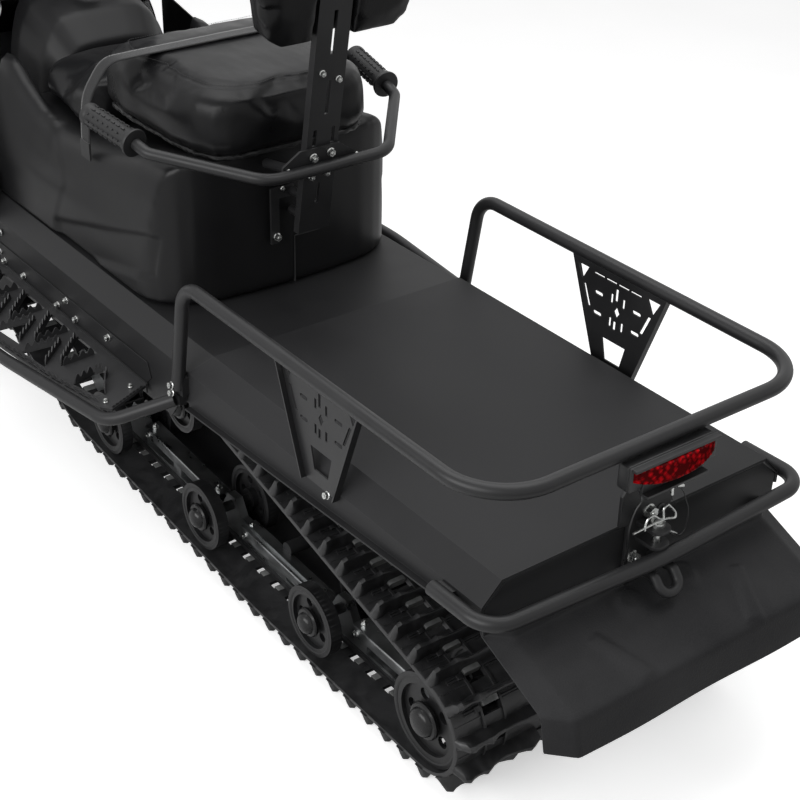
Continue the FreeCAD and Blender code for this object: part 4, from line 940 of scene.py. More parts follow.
tyres = bmesh.new()
caps = bmesh.new()
BOGIES = (485.0, 860.0, 1235.0)
AXLES = [(x, belt_height(x) + 70, 68.0, 20.0, (-278, -165, 165, 278)) for x in BOGIES]
AXLES += [(150.0, 127.0, 85.0, 26.0, (-278, -160, 0, 160, 278)),
          (919.0, 344.0, 56.0, 20.0, (-278, -120, 120, 278))]
for x, z, radius, hub, places in AXLES:
    for y in places:
        wheel_dress(tyres, caps, x, y, z, radius, hub)
wheel_tyres = finish_piece("wheel_tyres", tyres, grip_rubber)
wheel_caps = finish_piece("wheel_caps", caps, cap_plastic)
print("tyres:", face_count(wheel_tyres), "caps:", face_count(wheel_caps))

# %% [markdown]
# The slide rails are extruded aluminium. Each carries a bright folded cover between the bogies
# and a black plastic slide under it, and the bogie brackets are clamped to it with pairs of
# bolts.

# %% Rail covers, slides and bracket bolts
covers = bmesh.new()
slides = bmesh.new()
fixings = bmesh.new()
RAIL_Y = 210.0
COVER_WALLS = ((-17, 17, 0, 2.5), (-17, -14.5, -20, 0), (14.5, 17, -20, 0))
for side in (1, -1):
    for start, end, lift in ((250, 440, 62), (540, 815, 50), (905, 1190, 64)):
        first = at(start, side * RAIL_Y, belt_height(start) + lift)
        last = at(end, side * RAIL_Y, belt_height(end) + lift)
        for low_y, high_y, low_z, high_z in COVER_WALLS:
            low = Vector((first.x, side * RAIL_Y * MM + low_y * MM, first.z + low_z * MM))
            high = Vector((last.x, side * RAIL_Y * MM + high_y * MM, first.z + high_z * MM))
            for vert in add_block(covers, low, high):
                vert.co.z += (last.z - first.z) * (vert.co.x - first.x) / (last.x - first.x)
        for part in (0.06, 0.94):
            spot = first.lerp(last, part) + Vector((0, 0, 2.5 * MM))
            add_bolt(fixings, spot, UP, across=12)
            add_bolt(fixings, first.lerp(last, part) + Vector((0, side * 17 * MM, -10 * MM)),
                     Vector((0, side, 0)), across=10)
    for step in range(46):
        x = 250 + step * 24.0
        low, high = belt_height(x) + 0.5, belt_height(x + 24) + 0.5
        far = at(x + 24, side * RAIL_Y + 15, low + 9)
        for vert in add_block(slides, at(x, side * RAIL_Y - 15, low), far):
            if vert.co.x > at(x + 12, 0, 0).x:
                vert.co.z += (high - low) * MM
rail_covers = rounded(finish_piece("rail_covers", covers, aluminium), 0.8)
rail_slides = finish_piece("rail_slides", slides, black_plastic)
rail_bolts = finish_piece("rail_bolts", fixings, zinc)
print("rail dress:", face_count(rail_covers) + face_count(rail_slides) + face_count(rail_bolts))

# %% [markdown]
# A damper is a bright cylinder with a coil spring round it. The coil is a circle swept along a
# helix: a small ring is extruded and turned step by step.

# %% Springs
def add_spring(bm, start, end, coil, wire, turns):
    """A helical spring between two points. Radii are millimetres."""
    run = end - start
    stand = turned_to(start, run)
    steps = 14
    loops = []
    for step in range(int(turns * steps) + 1):
        angle = 2 * math.pi * step / steps
        middle = Vector((coil * MM * math.cos(angle), coil * MM * math.sin(angle),
                         run.length * step / (turns * steps)))
        rise = run.length / (turns * 2 * math.pi * coil * MM)
        along = Vector((-math.sin(angle), math.cos(angle), rise))
        ring = bmesh.ops.create_circle(bm, segments=7, radius=wire * MM)["verts"]
        put(bm, stand @ turned_to(middle, along), ring)
        loops.append(ring_edges(ring))
    bridge(bm, loops)


springs = bmesh.new()
for low, high in ((at(1090, 0, 130), at(1330, 0, 300)), (at(560, 0, 128), at(800, 0, 270))):
    run = (high - low).normalized()
    add_spring(springs, low + run * 20 * MM, high - run * 14 * MM, 31, 4.5, 8)
rear_springs = finish_piece("suspension_springs", springs, powder_coat)
print("springs:", face_count(rear_springs), "triangles")

# %% [markdown]
# ## The snow flap
# The flap hangs behind the track and keeps snow off what is towed. It is a thick polyethylene
# moulding: a sloping face, turned-in sides, a straight fold and a hanging band. A flat grid is
# bent into that shape, so that the bosses and ribs can be raised by moving its points, and
# Solidify then gives it a wall.

# %% The flap
FLAP_PATH = [(-15.0, 425.0), (-22.0, 400.0), (-92.0, 371.0), (-154.0, 345.2), (-160.5, 341.0),
             (-163.5, 334.0), (-171.0, 303.0), (-176.0, 281.0)]
FLAP_HALF = 303


def along_path(path, part):
    """A point on a path of corners, by its share of the path's length."""
    lengths = [math.dist(first, last) for first, last in zip(path, path[1:])]
    left = part * sum(lengths)
    for first, last, length in zip(path, path[1:], lengths):
        if left <= length:
            return tuple(a + (b - a) * left / length for a, b in zip(first, last))
        left -= length
    return path[-1]


def raised(x, y, spot, reach, lift):
    """The height of a round boss at a place."""
    return lift * (1 - ramp(math.dist((x, y), spot), reach * 0.45, reach))


bm = bmesh.new()
bmesh.ops.create_grid(bm, x_segments=116, y_segments=76, size=0.5)
for vert in bm.verts:
    across = vert.co.x * 2
    x, z = along_path(FLAP_PATH, 0.5 - vert.co.y)
    y = FLAP_HALF * across
    x += 38 * max(0.0, (abs(y) - 266) / 37)
    z += raised(x, y, (-49, 59), 30, 6.5) + raised(x, y, (-49, -59), 30, 6.5)
    for side in (1, -1):
        rib = [(-70, 146 * side), (-150, 104 * side), (-158, 128 * side), (-76, 160 * side)]
        z += 4.5 * ramp(inside_by(x, y, rib), -7, 2)
    if z < 330:
        x += 1.6 * math.cos(y / FLAP_HALF * math.pi * 2) * ramp(330 - z, 0, 40)
    vert.co = at(x, y, z)
smoothed(bm, 1)
notch = [face for face in bm.faces if abs(face.calc_center_median().y) < 60 * MM
         and face.calc_center_median().z > 401 * MM]
bmesh.ops.delete(bm, geom=notch, context="FACES")
flap = finish_piece("snow_guard", bm, flap_plastic, ("snow_flap",), 70)
walled(flap, 4.5, -1)
rounded(flap, 1.4, angle=50)
print("flap:", face_count(flap), "triangles")

# %% [markdown]
# ## Bolts and brackets
# Bright zinc-plated bolts stand out on the black machine, and they show how it is put together:
# in a row along the tunnel's side, at the feet of the rail and on its plates.

# %% Bolts along the tunnel and on the rail
bolts = bmesh.new()
TUNNEL_BOLTS = [(1621, 437), (1634, 387), (1613, 373), (1518, 376), (1360, 374), (1318, 402),
                (1279, 376), (1139, 397)]
TUNNEL_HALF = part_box("tunnel")[1].y / MM
for side in (1, -1):
    for x, z in TUNNEL_BOLTS:
        add_bolt(bolts, at(x, side * (TUNNEL_HALF + 2.6), z), Vector((0, side, 0)), across=12)
    for x, y, z in ((843, 342.0, 440), (843, 342.0, 424), (367, 330.5, 462)):
        add_bolt(bolts, at(x, side * y, z), Vector((0, side, 0.2)), across=11)
tunnel_bolts = finish_piece("tunnel_bolts", bolts, zinc)

# %% The doubler along the tunnel's side
bm = bmesh.new()
for side in (1, -1):
    edge = [(1640, 352), (1640, 408), (1105, 410), (987, 412), (975, 383), (1006, 352)]
    verts = [bm.verts.new(at(x, side * (TUNNEL_HALF + 0.2), z)) for x, z in edge]
    outer = grown_from(bm, face=bm.faces.new(verts))
    bmesh.ops.translate(bm, verts=outer, vec=(0, side * 2.3 * MM, 0))
doubler = rounded(finish_piece("tunnel_doubler", bm, satin_paint), 0.9)
print("bolts and doubler:", face_count(tunnel_bolts), face_count(doubler))

# %% [markdown]
# ## Running boards
# Snow has to fall through a board and boots must not slip. So each board is mostly large holes,
# and along two edges of every hole the sheet is folded up and cut into teeth. The board leans, so
# a tooth's foot is found from its distance out.

# %% Saw teeth round the holes
BOARD_INNER = 320.5
BOARD_TOP = 363.0
BOARD_FALL = 0.1206


def board_spot(x, y, side, lift=0.0):
    """A point over a leaning board, by its distance from the middle plane."""
    return at(x, side * y, BOARD_TOP - BOARD_FALL * (y - BOARD_INNER) + lift)


def add_saw(bm, start, end, tall=18.0, tooth=15.0, thick=2.2):
    """An upright toothed lip between two points of the board's top."""
    run = end - start
    count = max(2, round(run.length / MM / tooth))
    aside = Vector((-run.y, run.x, 0)).normalized() * thick * MM
    outline = [start, end]
    for step in range(count, 0, -1):
        for back, lift in ((0.08, 0.5), (0.4, 1.0), (0.6, 1.0), (0.92, 0.5)):
            part = (step - back) / count
            outline.append(start + run * part + Vector((0, 0, tall * lift * MM)))
    face = bm.faces.new([bm.verts.new(point) for point in outline])
    bmesh.ops.translate(bm, verts=grown_from(bm, face=face), vec=aside)


TOOTHED = [((1055, 370), (1080, 352)), ((1092, 357), (1098, 372)), ((1098, 372), (1089, 422)),
           ((1012, 393), (1055, 370))]
for start in (1155, 1270, 1385, 1500):
    TOOTHED += [((start, 336), (start + 8, 412)), ((start + 8, 412), (start + 84, 336)),
                ((start + 27, 436), (start + 89, 366)), ((start + 89, 366), (start + 110, 445))]
bm = bmesh.new()
for side in (1, -1):
    for near, far in TOOTHED:
        first = board_spot(*near, side, -0.4)
        last = board_spot(*far, side, -0.4)
        trim = (last - first) * 0.07
        add_saw(bm, first + trim, last - trim)
board_teeth = finish_piece("board_teeth", bm, board_coat)
print("board teeth:", face_count(board_teeth), "triangles")

# %% The slotted lips beside the outer tube, the stitched rear edge and a stay under it
EDGE = [(984, 416), (1133, 443), (1312, 462), (1640, 470)]


def edge_out(x):
    """How far out a board's outer edge is, at a distance x."""
    for (x1, y1), (x2, y2) in zip(EDGE, EDGE[1:]):
        if x <= x2:
            break
    return y1 + (y2 - y1) * (x - x1) / (x2 - x1)


bm = bmesh.new()
for side in (1, -1):
    for row, (inset, lift) in enumerate(((6.0, 3.0), (1.5, 0.5))):
        for step in range(15):
            x = 1000 + row * 20 + step * 42.0
            here = board_spot(x, edge_out(x) - inset, side, lift)
            there = board_spot(x + 35, edge_out(x + 35) - inset, side, lift)
            add_saw(bm, here, there, tall=3.0, tooth=60.0, thick=1.6)
    for step in range(9):
        near = board_spot(986 - step * 2.6, 328 + step * 8.6, side, -1.0)
        add_block(bm, near, near + Vector((3.0 * MM, side * 6.4 * MM, 5.0 * MM)))
    add_block(bm, at(996, side * 322, 330), at(1000, side * 392, 334))
    add_block(bm, at(1012, side * 352, 328), at(1030, side * 356, 354))
board_lips = rounded(finish_piece("board_lips", bm, board_coat), 0.6)
bm = bmesh.new()
for side in (1, -1):
    for x, y in ((991, 404), (1003, 345)):
        add_bolt(bm, board_spot(x, y, side, 0.4), Vector((0, side * 0.12, 0.99)), across=8)
board_bolts = finish_piece("board_bolts", bm, zinc)
print("board dress:", face_count(board_lips) + face_count(board_bolts), "triangles")

# %% [markdown]
# Folded sheet and flame-cut plate never have knife edges. So the plain solids of the deck, the
# tunnel and the brackets are copied and given a small round, which catches a thin line of light.

# %% Rounded edges on sheet and plate
SKINS = (("deck_cover", wrinkle_paint, "black_sheet_metal", 1.6),
         ("rear_panel", wrinkle_paint, "black_sheet_metal", 1.4),
         ("tunnel", satin_paint, "black_sheet_metal", 1.0),
         ("rail_plates", powder_coat, "black_powder_coat", 0.8),
         ("backrest_upright", powder_coat, "black_powder_coat", 1.0),
         ("tow_hitch", powder_coat, "black_powder_coat", 0.8),
         ("tail_light_housing", black_plastic, "black_plastic", 1.6))
for node, finish, slot, width in SKINS:
    skin = rounded(finish_piece(node + "_skin", copy_of(node), finish, (node,)), width)
    print(skin.name, face_count(skin), "triangles")

# %% [markdown]
# ## Hitch and tail light
# A hitch pin is dropped through the two jaws and locked by an R-shaped spring clip, which hangs
# on a thin wire so that it can't be lost. The clip is bent from a 3 mm rod.

# %% Soft curves and wires
def catmull(a, b, c, d, t):
    """A value a share t of the way from b to c, by Catmull and Rom's rule."""
    return 0.5 * (2 * b + (c - a) * t + (2 * a - 5 * b + 4 * c - d) * t * t
                  + (3 * b - a - 3 * c + d) * t ** 3)


def smooth_line(points, steps=8):
    """A soft curve through points."""
    ends = [points[0] * 2 - points[1]] + points + [points[-1] * 2 - points[-2]]
    line = [catmull(*four, step / steps) for four in zip(ends, ends[1:], ends[2:], ends[3:])
            for step in range(steps)]
    return line + [points[-1]]


def add_wire(bm, points, radius, sides=8):
    """A round wire along a line of points, with closed ends."""
    loops = []
    for step, point in enumerate(points):
        ahead = points[min(step + 1, len(points) - 1)]
        back = points[max(step - 1, 0)]
        ring = bmesh.ops.create_circle(bm, segments=sides, radius=radius * MM,
                                       cap_ends=step in (0, len(points) - 1))["verts"]
        put(bm, turned_to(point, ahead - back), ring)
        loops.append(ring_edges(ring))
    bridge(bm, loops)

# %% The spring clip, its wire, its tether and the big bolts
CLIP_X = -40
WIRE_X = -34
HITCH_FACE = -6.3
bm = bmesh.new()
clip_path = [(60, 513), (40, 513.5), (16, 514), (-8, 513), (-22, 509), (-29, 508), (-29, 515),
             (-24, 523), (-16, 532), (-9, 538), (-1, 534), (-2, 524), (-3, 516), (5, 518),
             (16, 527), (25, 530), (31, 528), (35, 520), (35, 509)]
add_wire(bm, smooth_line([at(CLIP_X, *point) for point in clip_path]), 1.9)
for y, z, across in ((-6, 511, 19), (20, 436, 17)):
    add_bolt(bm, at(HITCH_FACE, y, z), BEHIND, across=across)
for y0, z0, y1, z1, radius in ((-22, 549, -21, 561, 2.8), (-31, 561, -45, 556, 2.8),
                               (-43, 468, -26, 480, 2.6)):
    add_rod(bm, at(WIRE_X, y0, z0), at(WIRE_X, y1, z1), radius, sides=12)
hitch_clip = finish_piece("hitch_clip", bm, zinc)
bm = bmesh.new()
pin_wire = [(-24, 538), (-21, 557), (-28, 561), (-35, 559), (-47, 545), (-56, 525), (-63, 509),
            (-65, 494), (-64, 480), (-61, 467), (-52, 462), (-43, 467), (-33, 474), (-24, 483),
            (-13, 500)]
add_wire(bm, smooth_line([at(WIRE_X, *point) for point in pin_wire]), 1.0, sides=6)
tether = [(-9, 24, 560), (-20, 27, 550), (-20, 37, 537), (-20, 44, 521), (-20, 48, 500),
          (-20, 46, 475), (-20, 46, 462), (-18, 45, 447), (-9, 40, 436)]
add_wire(bm, smooth_line([at(*point) for point in tether]), 1.6, sides=6)
grommet = [(4.4, 0), (8.0, 0.2), (8.4, 1.2), (7.4, 2.0), (4.4, 2.0)]
add_turned(bm, at(HITCH_FACE, -32, 505), BEHIND, grommet, sides=24)
pin_tether = finish_piece("pin_tether", bm, black_plastic)
print("hitch:", face_count(hitch_clip) + face_count(pin_tether), "triangles")

# %% [markdown]
# The tail light's lens is moulded with hundreds of small pyramids that send a headlamp's beam
# back. Here they are about four millimetres wide, so that they show. The lens also bulges along
# and across.

# %% A prismatic lens
bm = bmesh.new()
COLUMNS = 44
ROWS = 12
bmesh.ops.create_grid(bm, x_segments=COLUMNS, y_segments=ROWS, size=0.5)
for vert in bm.verts:
    across = vert.co.x * 2
    up = vert.co.y * 2
    column = round((vert.co.x + 0.5) * COLUMNS)
    row = round((vert.co.y + 0.5) * ROWS)
    edge_in = 1 - ramp(max(abs(across), abs(up)), 0.93, 1.0)
    prism = 2.4 * edge_in if (column + row) % 2 else 0.0
    bulge = (1 - abs(across) ** 2.6) * (12.5 - 4.0 * up)
    low_z = 608.0 + 11.0 * abs(across) ** 2.4
    high_z = 637.5 - 2.0 * abs(across) ** 6
    z = (low_z + high_z) / 2 + (high_z - low_z) / 2 * up
    vert.co = at(-51.2 - bulge - prism, 83.5 * across, z)
for vert in grown_from(bm, [edge for edge in bm.edges if edge.is_boundary]):
    vert.co.x = at(-50.1, 0, 0).x
bmesh.ops.holes_fill(bm, edges=[edge for edge in bm.edges if edge.is_boundary], sides=0)
tail_lens = finish_piece("tail_lens", bm, red_acrylic, ("tail_light_lens",), 8)
bm = bmesh.new()
add_block(bm, at(-59, -88, 638.5), at(-44, 88, 643.6))
add_block(bm, at(-64, -64, 589), at(-44, 64, 593))
add_block(bm, at(-52, -64, 593), at(-46, 64, 609))
rounded(finish_piece("tail_light_hood", bm, black_plastic), 1.2)
print("tail lens:", face_count(tail_lens), "triangles")

# %% [markdown]
# ## Grips, clamp and strap
# The passenger's grips are moulded with rows of short raised ribs between two collars.

# %% Grab-bar grips
bm = bmesh.new()
for side in (1, -1):
    start = at(1043.5, side * 278, 820)
    run = (at(1180, side * 298, 838) - start).normalized()
    head = start + run * 1.5 * MM
    profile = [(9.4, 0), (26, 0.5), (27, 3), (26, 7), (21.5, 9), (20, 14), (20, 126), (21.8, 129),
               (21.8, 138), (17, 143), (9.4, 143)]
    add_turned(bm, head, run, profile, sides=32)
    stand = turned_to(head, run)
    for row in range(10):
        angle = 2 * math.pi * row / 10
        for step in range(7):
            along = 24 + step * 14.5 + (7 if row % 2 else 0)
            low, high = Vector((18.8, -1.8, along)), Vector((22.0, 1.8, along + 9))
            put(bm, stand @ Matrix.Rotation(angle, 4, "Z"), add_block(bm, low * MM, high * MM))
bar_grips = finish_piece("bar_grips", bm, grip_rubber, ("grab_bar_grips",))
rounded(bar_grips, 0.5)
print("grips:", face_count(bar_grips), "triangles")

# %% Bolts of the clamp and the upright
bm = bmesh.new()
behind = Vector((-1, 0, -LEAN))
for x, y, z, across in ((840.6, -3, 811, 13), (840.6, 34, 808, 13), (843.6, 86, 792, 8),
                        (843.6, -62, 792, 8)):
    add_bolt(bm, at(x, y, z), behind, across=across)
for y, z in ((30, 765), (-3, 767), (28, 968), (-8, 951)):
    add_bolt(bm, at(873.7 - (z - 648) * LEAN, y, z), behind, across=10)
for y, z, across in ((45, 614, 13), (31, 709, 7)):
    add_bolt(bm, at(949.2, y, z), BEHIND, across=across)
finish_piece("upright_bolts", bm, zinc)

# %% The hold strap, two layers of webbing with a folded and sewn end
STRAP_WIDE = 35
half = 250.0
route = [(1295, half + 4.5, 706), (1295, half + 3.5, 758), (1288, half - 0.5, 820),
         (1260, half - 6.5, 868), (1226, half - 20, 911), (1206, half - 60, 923), (1202, 92, 925),
         (1201, 0, 926)]
line = smooth_line([at(*point) for point in route], steps=6)
line += [Vector((point.x, -point.y, point.z)) for point in reversed(line[:-1])]
bm = bmesh.new()
path = [bm.verts.new(point - Vector((STRAP_WIDE / 2 * MM, 0, 0))) for point in line]
edges = [bm.edges.new(pair) for pair in zip(path, path[1:])]
bmesh.ops.translate(bm, verts=grown_from(bm, edges), vec=(STRAP_WIDE * MM, 0, 0))
crosswise = [edge for edge in bm.edges if abs((edge.verts[0].co - edge.verts[1].co).x) > 30 * MM]
bmesh.ops.subdivide_edges(bm, edges=crosswise, cuts=5)
for side in (1, -1):
    add_block(bm, at(1277.5, side * (half + 5.2), 704), at(1312.5, side * (half + 7.4), 738))
hold_strap = finish_piece("hold_webbing", bm, webbing, ("hold_strap",), 50)
walled(hold_strap, 1.8, 0)
print("strap:", face_count(hold_strap), "triangles")

# %% [markdown]
# ## Hood and screen
# A hood is one deep-drawn moulding. Its sections are closed curves called superellipses, which
# run from a circle to a rounded box with one number. They are laid at close steps between a few
# known stations and bridged, so no flat strips are left, and Solidify gives the sheet its wall.

# %% Sections between stations
# Each station has its x, half its width, its height and its superellipse's power.
HOOD_STATIONS = [(2040, 330, 880, 3.2), (2120, 352, 872, 3.0), (2240, 366, 848, 2.8),
                 (2380, 366, 808, 2.7), (2520, 346, 752, 2.6), (2640, 300, 686, 2.5),
                 (2730, 232, 612, 2.5), (2790, 140, 530, 2.4)]
HOOD_LOW = 452.0
LAMP_Y = 88
LAMP_Z = 612
LAMP_BORE = 58


def eased(rows, part):
    """Values at a share of the way through rows, on a smooth curve."""
    place = min(len(rows) - 1.000001, max(0.0, part * (len(rows) - 1)))
    step = int(place)
    t = place - step
    before = rows[max(step - 1, 0)]
    after = rows[min(step + 2, len(rows) - 1)]
    return [catmull(*four, t) for four in zip(before, rows[step], rows[step + 1], after)]


def hood_point(part, turn):
    """A point on the hood: part runs from the screen to the nose, turn from the left sill over."""
    x, half, high, power = eased(HOOD_STATIONS, part)
    c, s = math.cos(turn), math.sin(turn)
    y = half * math.copysign(abs(c) ** (2 / power), c)
    z = HOOD_LOW + (high - HOOD_LOW) * abs(s) ** (2 / power)
    return x, y, z


def hood_height(x, y):
    """The hood's height above a place, in millimetres from the floor."""
    part = 0.0
    while part < 0.99 and eased(HOOD_STATIONS, part)[0] < x:
        part += 0.01
    _, half, high, power = eased(HOOD_STATIONS, part)
    share = min(0.999, abs(y) / half)
    return HOOD_LOW + (high - HOOD_LOW) * (1 - share ** power) ** (1 / power)

# %% The hood's form
def hood_form(part, turn):
    """The hood's outside with a raised middle, a shoulder crease and two shallow scoops."""
    x, y, z = hood_point(part, turn)
    over = math.sin(turn)
    middle = 1 - ramp(abs(y), 62, 84)
    lift = 7.0 * middle * ramp(over, 0.5, 0.8) * ramp(part, 0.04, 0.16)
    lift *= 1 - ramp(part, 0.66, 0.86)
    crease = 5.0 * (1 - ramp(abs(abs(turn - math.pi / 2) - 1.0), 0.0, 0.16)) * ramp(part, 0.05, 0.2)
    scoop = -8.0 * (1 - ramp(abs(part - 0.36), 0.06, 0.1)) * ramp(over, 0.4, 0.7)
    scoop *= 1 - ramp(abs(abs(y) - 190), 26, 44)
    return x, y + math.copysign(crease * (1 - ramp(part, 0.7, 0.95)), y), z + lift + scoop

# %% The hood's skin and its two headlamp openings
bm = bmesh.new()
SECTIONS = 60
loops = []
for index in range(SECTIONS + 1):
    part = index / SECTIONS
    ring = bmesh.ops.create_circle(bm, segments=96, radius=1.0)["verts"]
    half_ring = [vert for vert in ring if vert.co.y > -1e-4]
    for vert in half_ring:
        turn = min(math.pi, max(0.0, math.atan2(vert.co.y, vert.co.x)))
        vert.co = at(*hood_form(part, turn))
    bmesh.ops.delete(bm, geom=[vert for vert in ring if vert not in half_ring], context="VERTS")
    loops.append(ring_edges(half_ring))
bridge(bm, loops)
nose = [vert for vert in bm.verts if vert.co.x > at(2789, 0, 0).x]
rim = [edge for edge in bm.edges if edge.verts[0] in nose and edge.verts[1] in nose]
inner = grown_from(bm, rim)
for vert in inner:
    x, y, z = (vert.co.x - DECK_REAR) / MM, vert.co.y / MM, vert.co.z / MM
    vert.co = at(x + 3.0, y * 0.8, HOOD_LOW + (z - HOOD_LOW) * 0.82)
hole = [edge for edge in bm.edges if set(edge.verts) <= set(inner) and edge.is_boundary]
bmesh.ops.holes_fill(bm, edges=hole, sides=0)
bmesh.ops.recalc_face_normals(bm, faces=bm.faces[:])
bmesh.ops.solidify(bm, geom=bm.faces[:], thickness=4.0 * MM)
bores = bmesh.new()
for side in (1, -1):
    behind, ahead = at(2580, side * LAMP_Y, LAMP_Z), at(2880, side * LAMP_Y, LAMP_Z)
    add_rod(bores, behind, ahead, LAMP_BORE, sides=64)
bores_mesh = baked(bores, "bores")
cutter = link("bores", bores_mesh)
bm = reshaped(bm, "BOOLEAN", operation="DIFFERENCE", object=cutter, solver="EXACT")
bpy.data.objects.remove(cutter)
bpy.data.meshes.remove(bores_mesh)
for side in (1, -1):
    add_rod(bm, at(2800, side * 135.5, HOOD_LOW - 6), at(2800, side * 150, HOOD_LOW - 6), 7)
    add_block(bm, at(2784, side * 135.5, HOOD_LOW - 2), at(2803, side * 150, HOOD_LOW + 26))
hood_shell = finish_piece("hood_shell", bm, hood_plastic, ("hood",), 40,
                          "hood")
print("hood:", face_count(hood_shell), "triangles")

# %% Louvres, lamp rings, a grille and rubber latches
bm = bmesh.new()
for side in (1, -1):
    for step in range(5):
        x = 2190 + step * 34
        for y, z in ((372, 640), (368.4, 649)):
            add_block(bm, at(x, side * (y - 12), z), at(x + 24, side * y, z + 4))
    add_turned(bm, at(2640, side * LAMP_Y, LAMP_Z), AHEAD,
               [(58.4, 0), (58.4, 62), (61, 64), (61, 66), (55.6, 66), (55.6, 0)], sides=64)
    for turn in (0.25, 0.6):
        x, y, z = hood_point(0.16, turn)
        add_block(bm, at(x - 16, side * (y - 4), z - 24), at(x + 16, side * (y + 6), z + 24))
        add_block(bm, at(x - 8, side * (y + 5), z - 34), at(x + 8, side * (y + 11), z + 30))
for step in range(9):
    z = 478 + step * 9
    reach = 92 - abs(step - 4) * 5
    add_block(bm, at(2782, -reach, z), at(2796 - abs(step - 2) * 1.2, reach, z + 3))
rounded(finish_piece("hood_trim", bm, black_plastic, body="hood"), 1.4)

# %% The screen, bent from one sheet, with a rubber edge
# Each row has its z, its x, half its width and how far its sides sweep back.
SCREEN = [(700, 2306, 318, 96), (872, 2230, 318, 90), (980, 2178, 312, 84), (1120, 2112, 284, 70),
          (1240, 2056, 226, 46), (1300, 2030, 150, 20)]


def screen_point(part, across):
    z, x, half, sweep = eased(SCREEN, part)
    return x - sweep * across ** 2, half * across, z


bm = bmesh.new()
bmesh.ops.create_grid(bm, x_segments=40, y_segments=34, size=0.5)
for vert in bm.verts:
    across = vert.co.x * 2
    up = vert.co.y + 0.5
    foot = 0.0
    while foot < 0.5:
        x, y, z = screen_point(foot, across)
        if z > hood_height(x, y) + 1.0:
            break
        foot += 0.01
    top = 1.0 - 0.05 * across ** 4
    vert.co = at(*screen_point(foot + (top - foot) * up, across))
bmesh.ops.recalc_face_normals(bm, faces=bm.faces[:])
border = [tuple(vert.co.copy() for vert in edge.verts) for edge in bm.edges if edge.is_boundary]
bmesh.ops.solidify(bm, geom=bm.faces[:], thickness=4.0 * MM)
screen = finish_piece("screen", bm, smoked_screen, ("windshield",), 60, "hood")
bm = bmesh.new()
for first, last in border:
    add_rod(bm, first, last, 4.2)
bmesh.ops.remove_doubles(bm, verts=bm.verts, dist=0.01 * MM)
screen_edge = finish_piece("screen_edge", bm, black_plastic, (), 50, "hood")
print("screen:", face_count(screen) + face_count(screen_edge), "triangles")

# %% [markdown]
# ## Tank, console and dash
# These mouldings have soft, changing corners like the saddle, so they are made the same way.

# %% Soft mouldings
def clay(name, node, finish, slot):
    """A CAD solid remeshed and smoothed, as one moulding."""
    bm = remeshed(copy_of(node), 6.0)
    smoothed(bm, 6)
    return finish_piece(name, bm, finish, (node,), 60)


tank_shell = clay("tank_shell", "fuel_tank", shell_abs, "moulded_plastic")
dash_shell = clay("dash_shell", "dash", black_plastic, "black_plastic")
bm = bmesh.new()
cap_profile = [(0, 0), (38, 0), (38, 4), (35, 6), (35, 24), (31, 29), (0, 31)]
cap_foot = at(1769, 0, 886)
cap_axis = Vector((-0.05, 0, 1)).normalized()
add_turned(bm, cap_foot, cap_axis, cap_profile, sides=48)
for step in range(16):
    turn = Matrix.Rotation(math.pi * 2 * step / 16, 4, "Z")
    made = add_block(bm, Vector((33.5, -3, 6)) * MM, Vector((38, 3, 25)) * MM)
    put(bm, turned_to(cap_foot, cap_axis) @ turn, made)
pod = at(1958, 0, 900)
tilt = Vector((-0.5, 0, 1)).normalized()
dial = [(0, -22), (74, -22), (78, 4), (75, 12), (66, 14), (64, 10), (0, 10)]
add_turned(bm, pod, tilt, dial, sides=56)
for side in (1, -1):
    knob = [(0, -10), (34, -10), (36, 3), (30, 6), (0, 7)]
    add_turned(bm, at(1946, side * 168, 893), tilt, knob, sides=36)
    for step in range(3):
        low = at(1906, side * (108 + step * 26) - 9, 884)
        add_block(bm, low, low + Vector((14, 18, 20)) * MM)
tank_and_dash_trim = finish_piece("tank_and_dash_trim", bm, black_plastic)
rounded(tank_and_dash_trim, 1.2)
bm = bmesh.new()
add_turned(bm, pod + tilt * 10 * MM, tilt, [(0, 0), (63, 0), (63, 2), (0, 2.6)], sides=56)
finish_piece("dial_glass", bm, smoked_screen)
print("tank and dash:", face_count(tank_shell) + face_count(dash_shell), "triangles")

# %% [markdown]
# ## Belly pan, side panels and bumper
# The pan's long folds are rolled, not sharp. Bevel rounds the outside edges, wide for the pan,
# narrow for the panels, and leaves the thin inner wall alone.

# %% Rounded folds
def folded(name, node, width):
    """A copy of a CAD sheet whose outer folds are rounded."""
    bm = copy_of(node)
    bm.normal_update()
    middle = sum((vert.co for vert in bm.verts), Vector()) / len(bm.verts)
    outer = []
    for edge in bm.edges:
        if len(edge.link_faces) != 2:
            continue
        away = (edge.verts[0].co + edge.verts[1].co) / 2 - middle
        away.x = 0
        if edge.calc_face_angle_signed(0) > math.radians(12) and all(
                face.normal.dot(away) > 0 for face in edge.link_faces):
            outer.append(edge)
    bmesh.ops.bevel(bm, geom=outer, offset=width * MM, offset_type="OFFSET", segments=4,
                    profile=0.5, affect="EDGES", material=-1, clamp_overlap=True)
    return finish_piece(name, bm, shell_abs, (node,), 35)


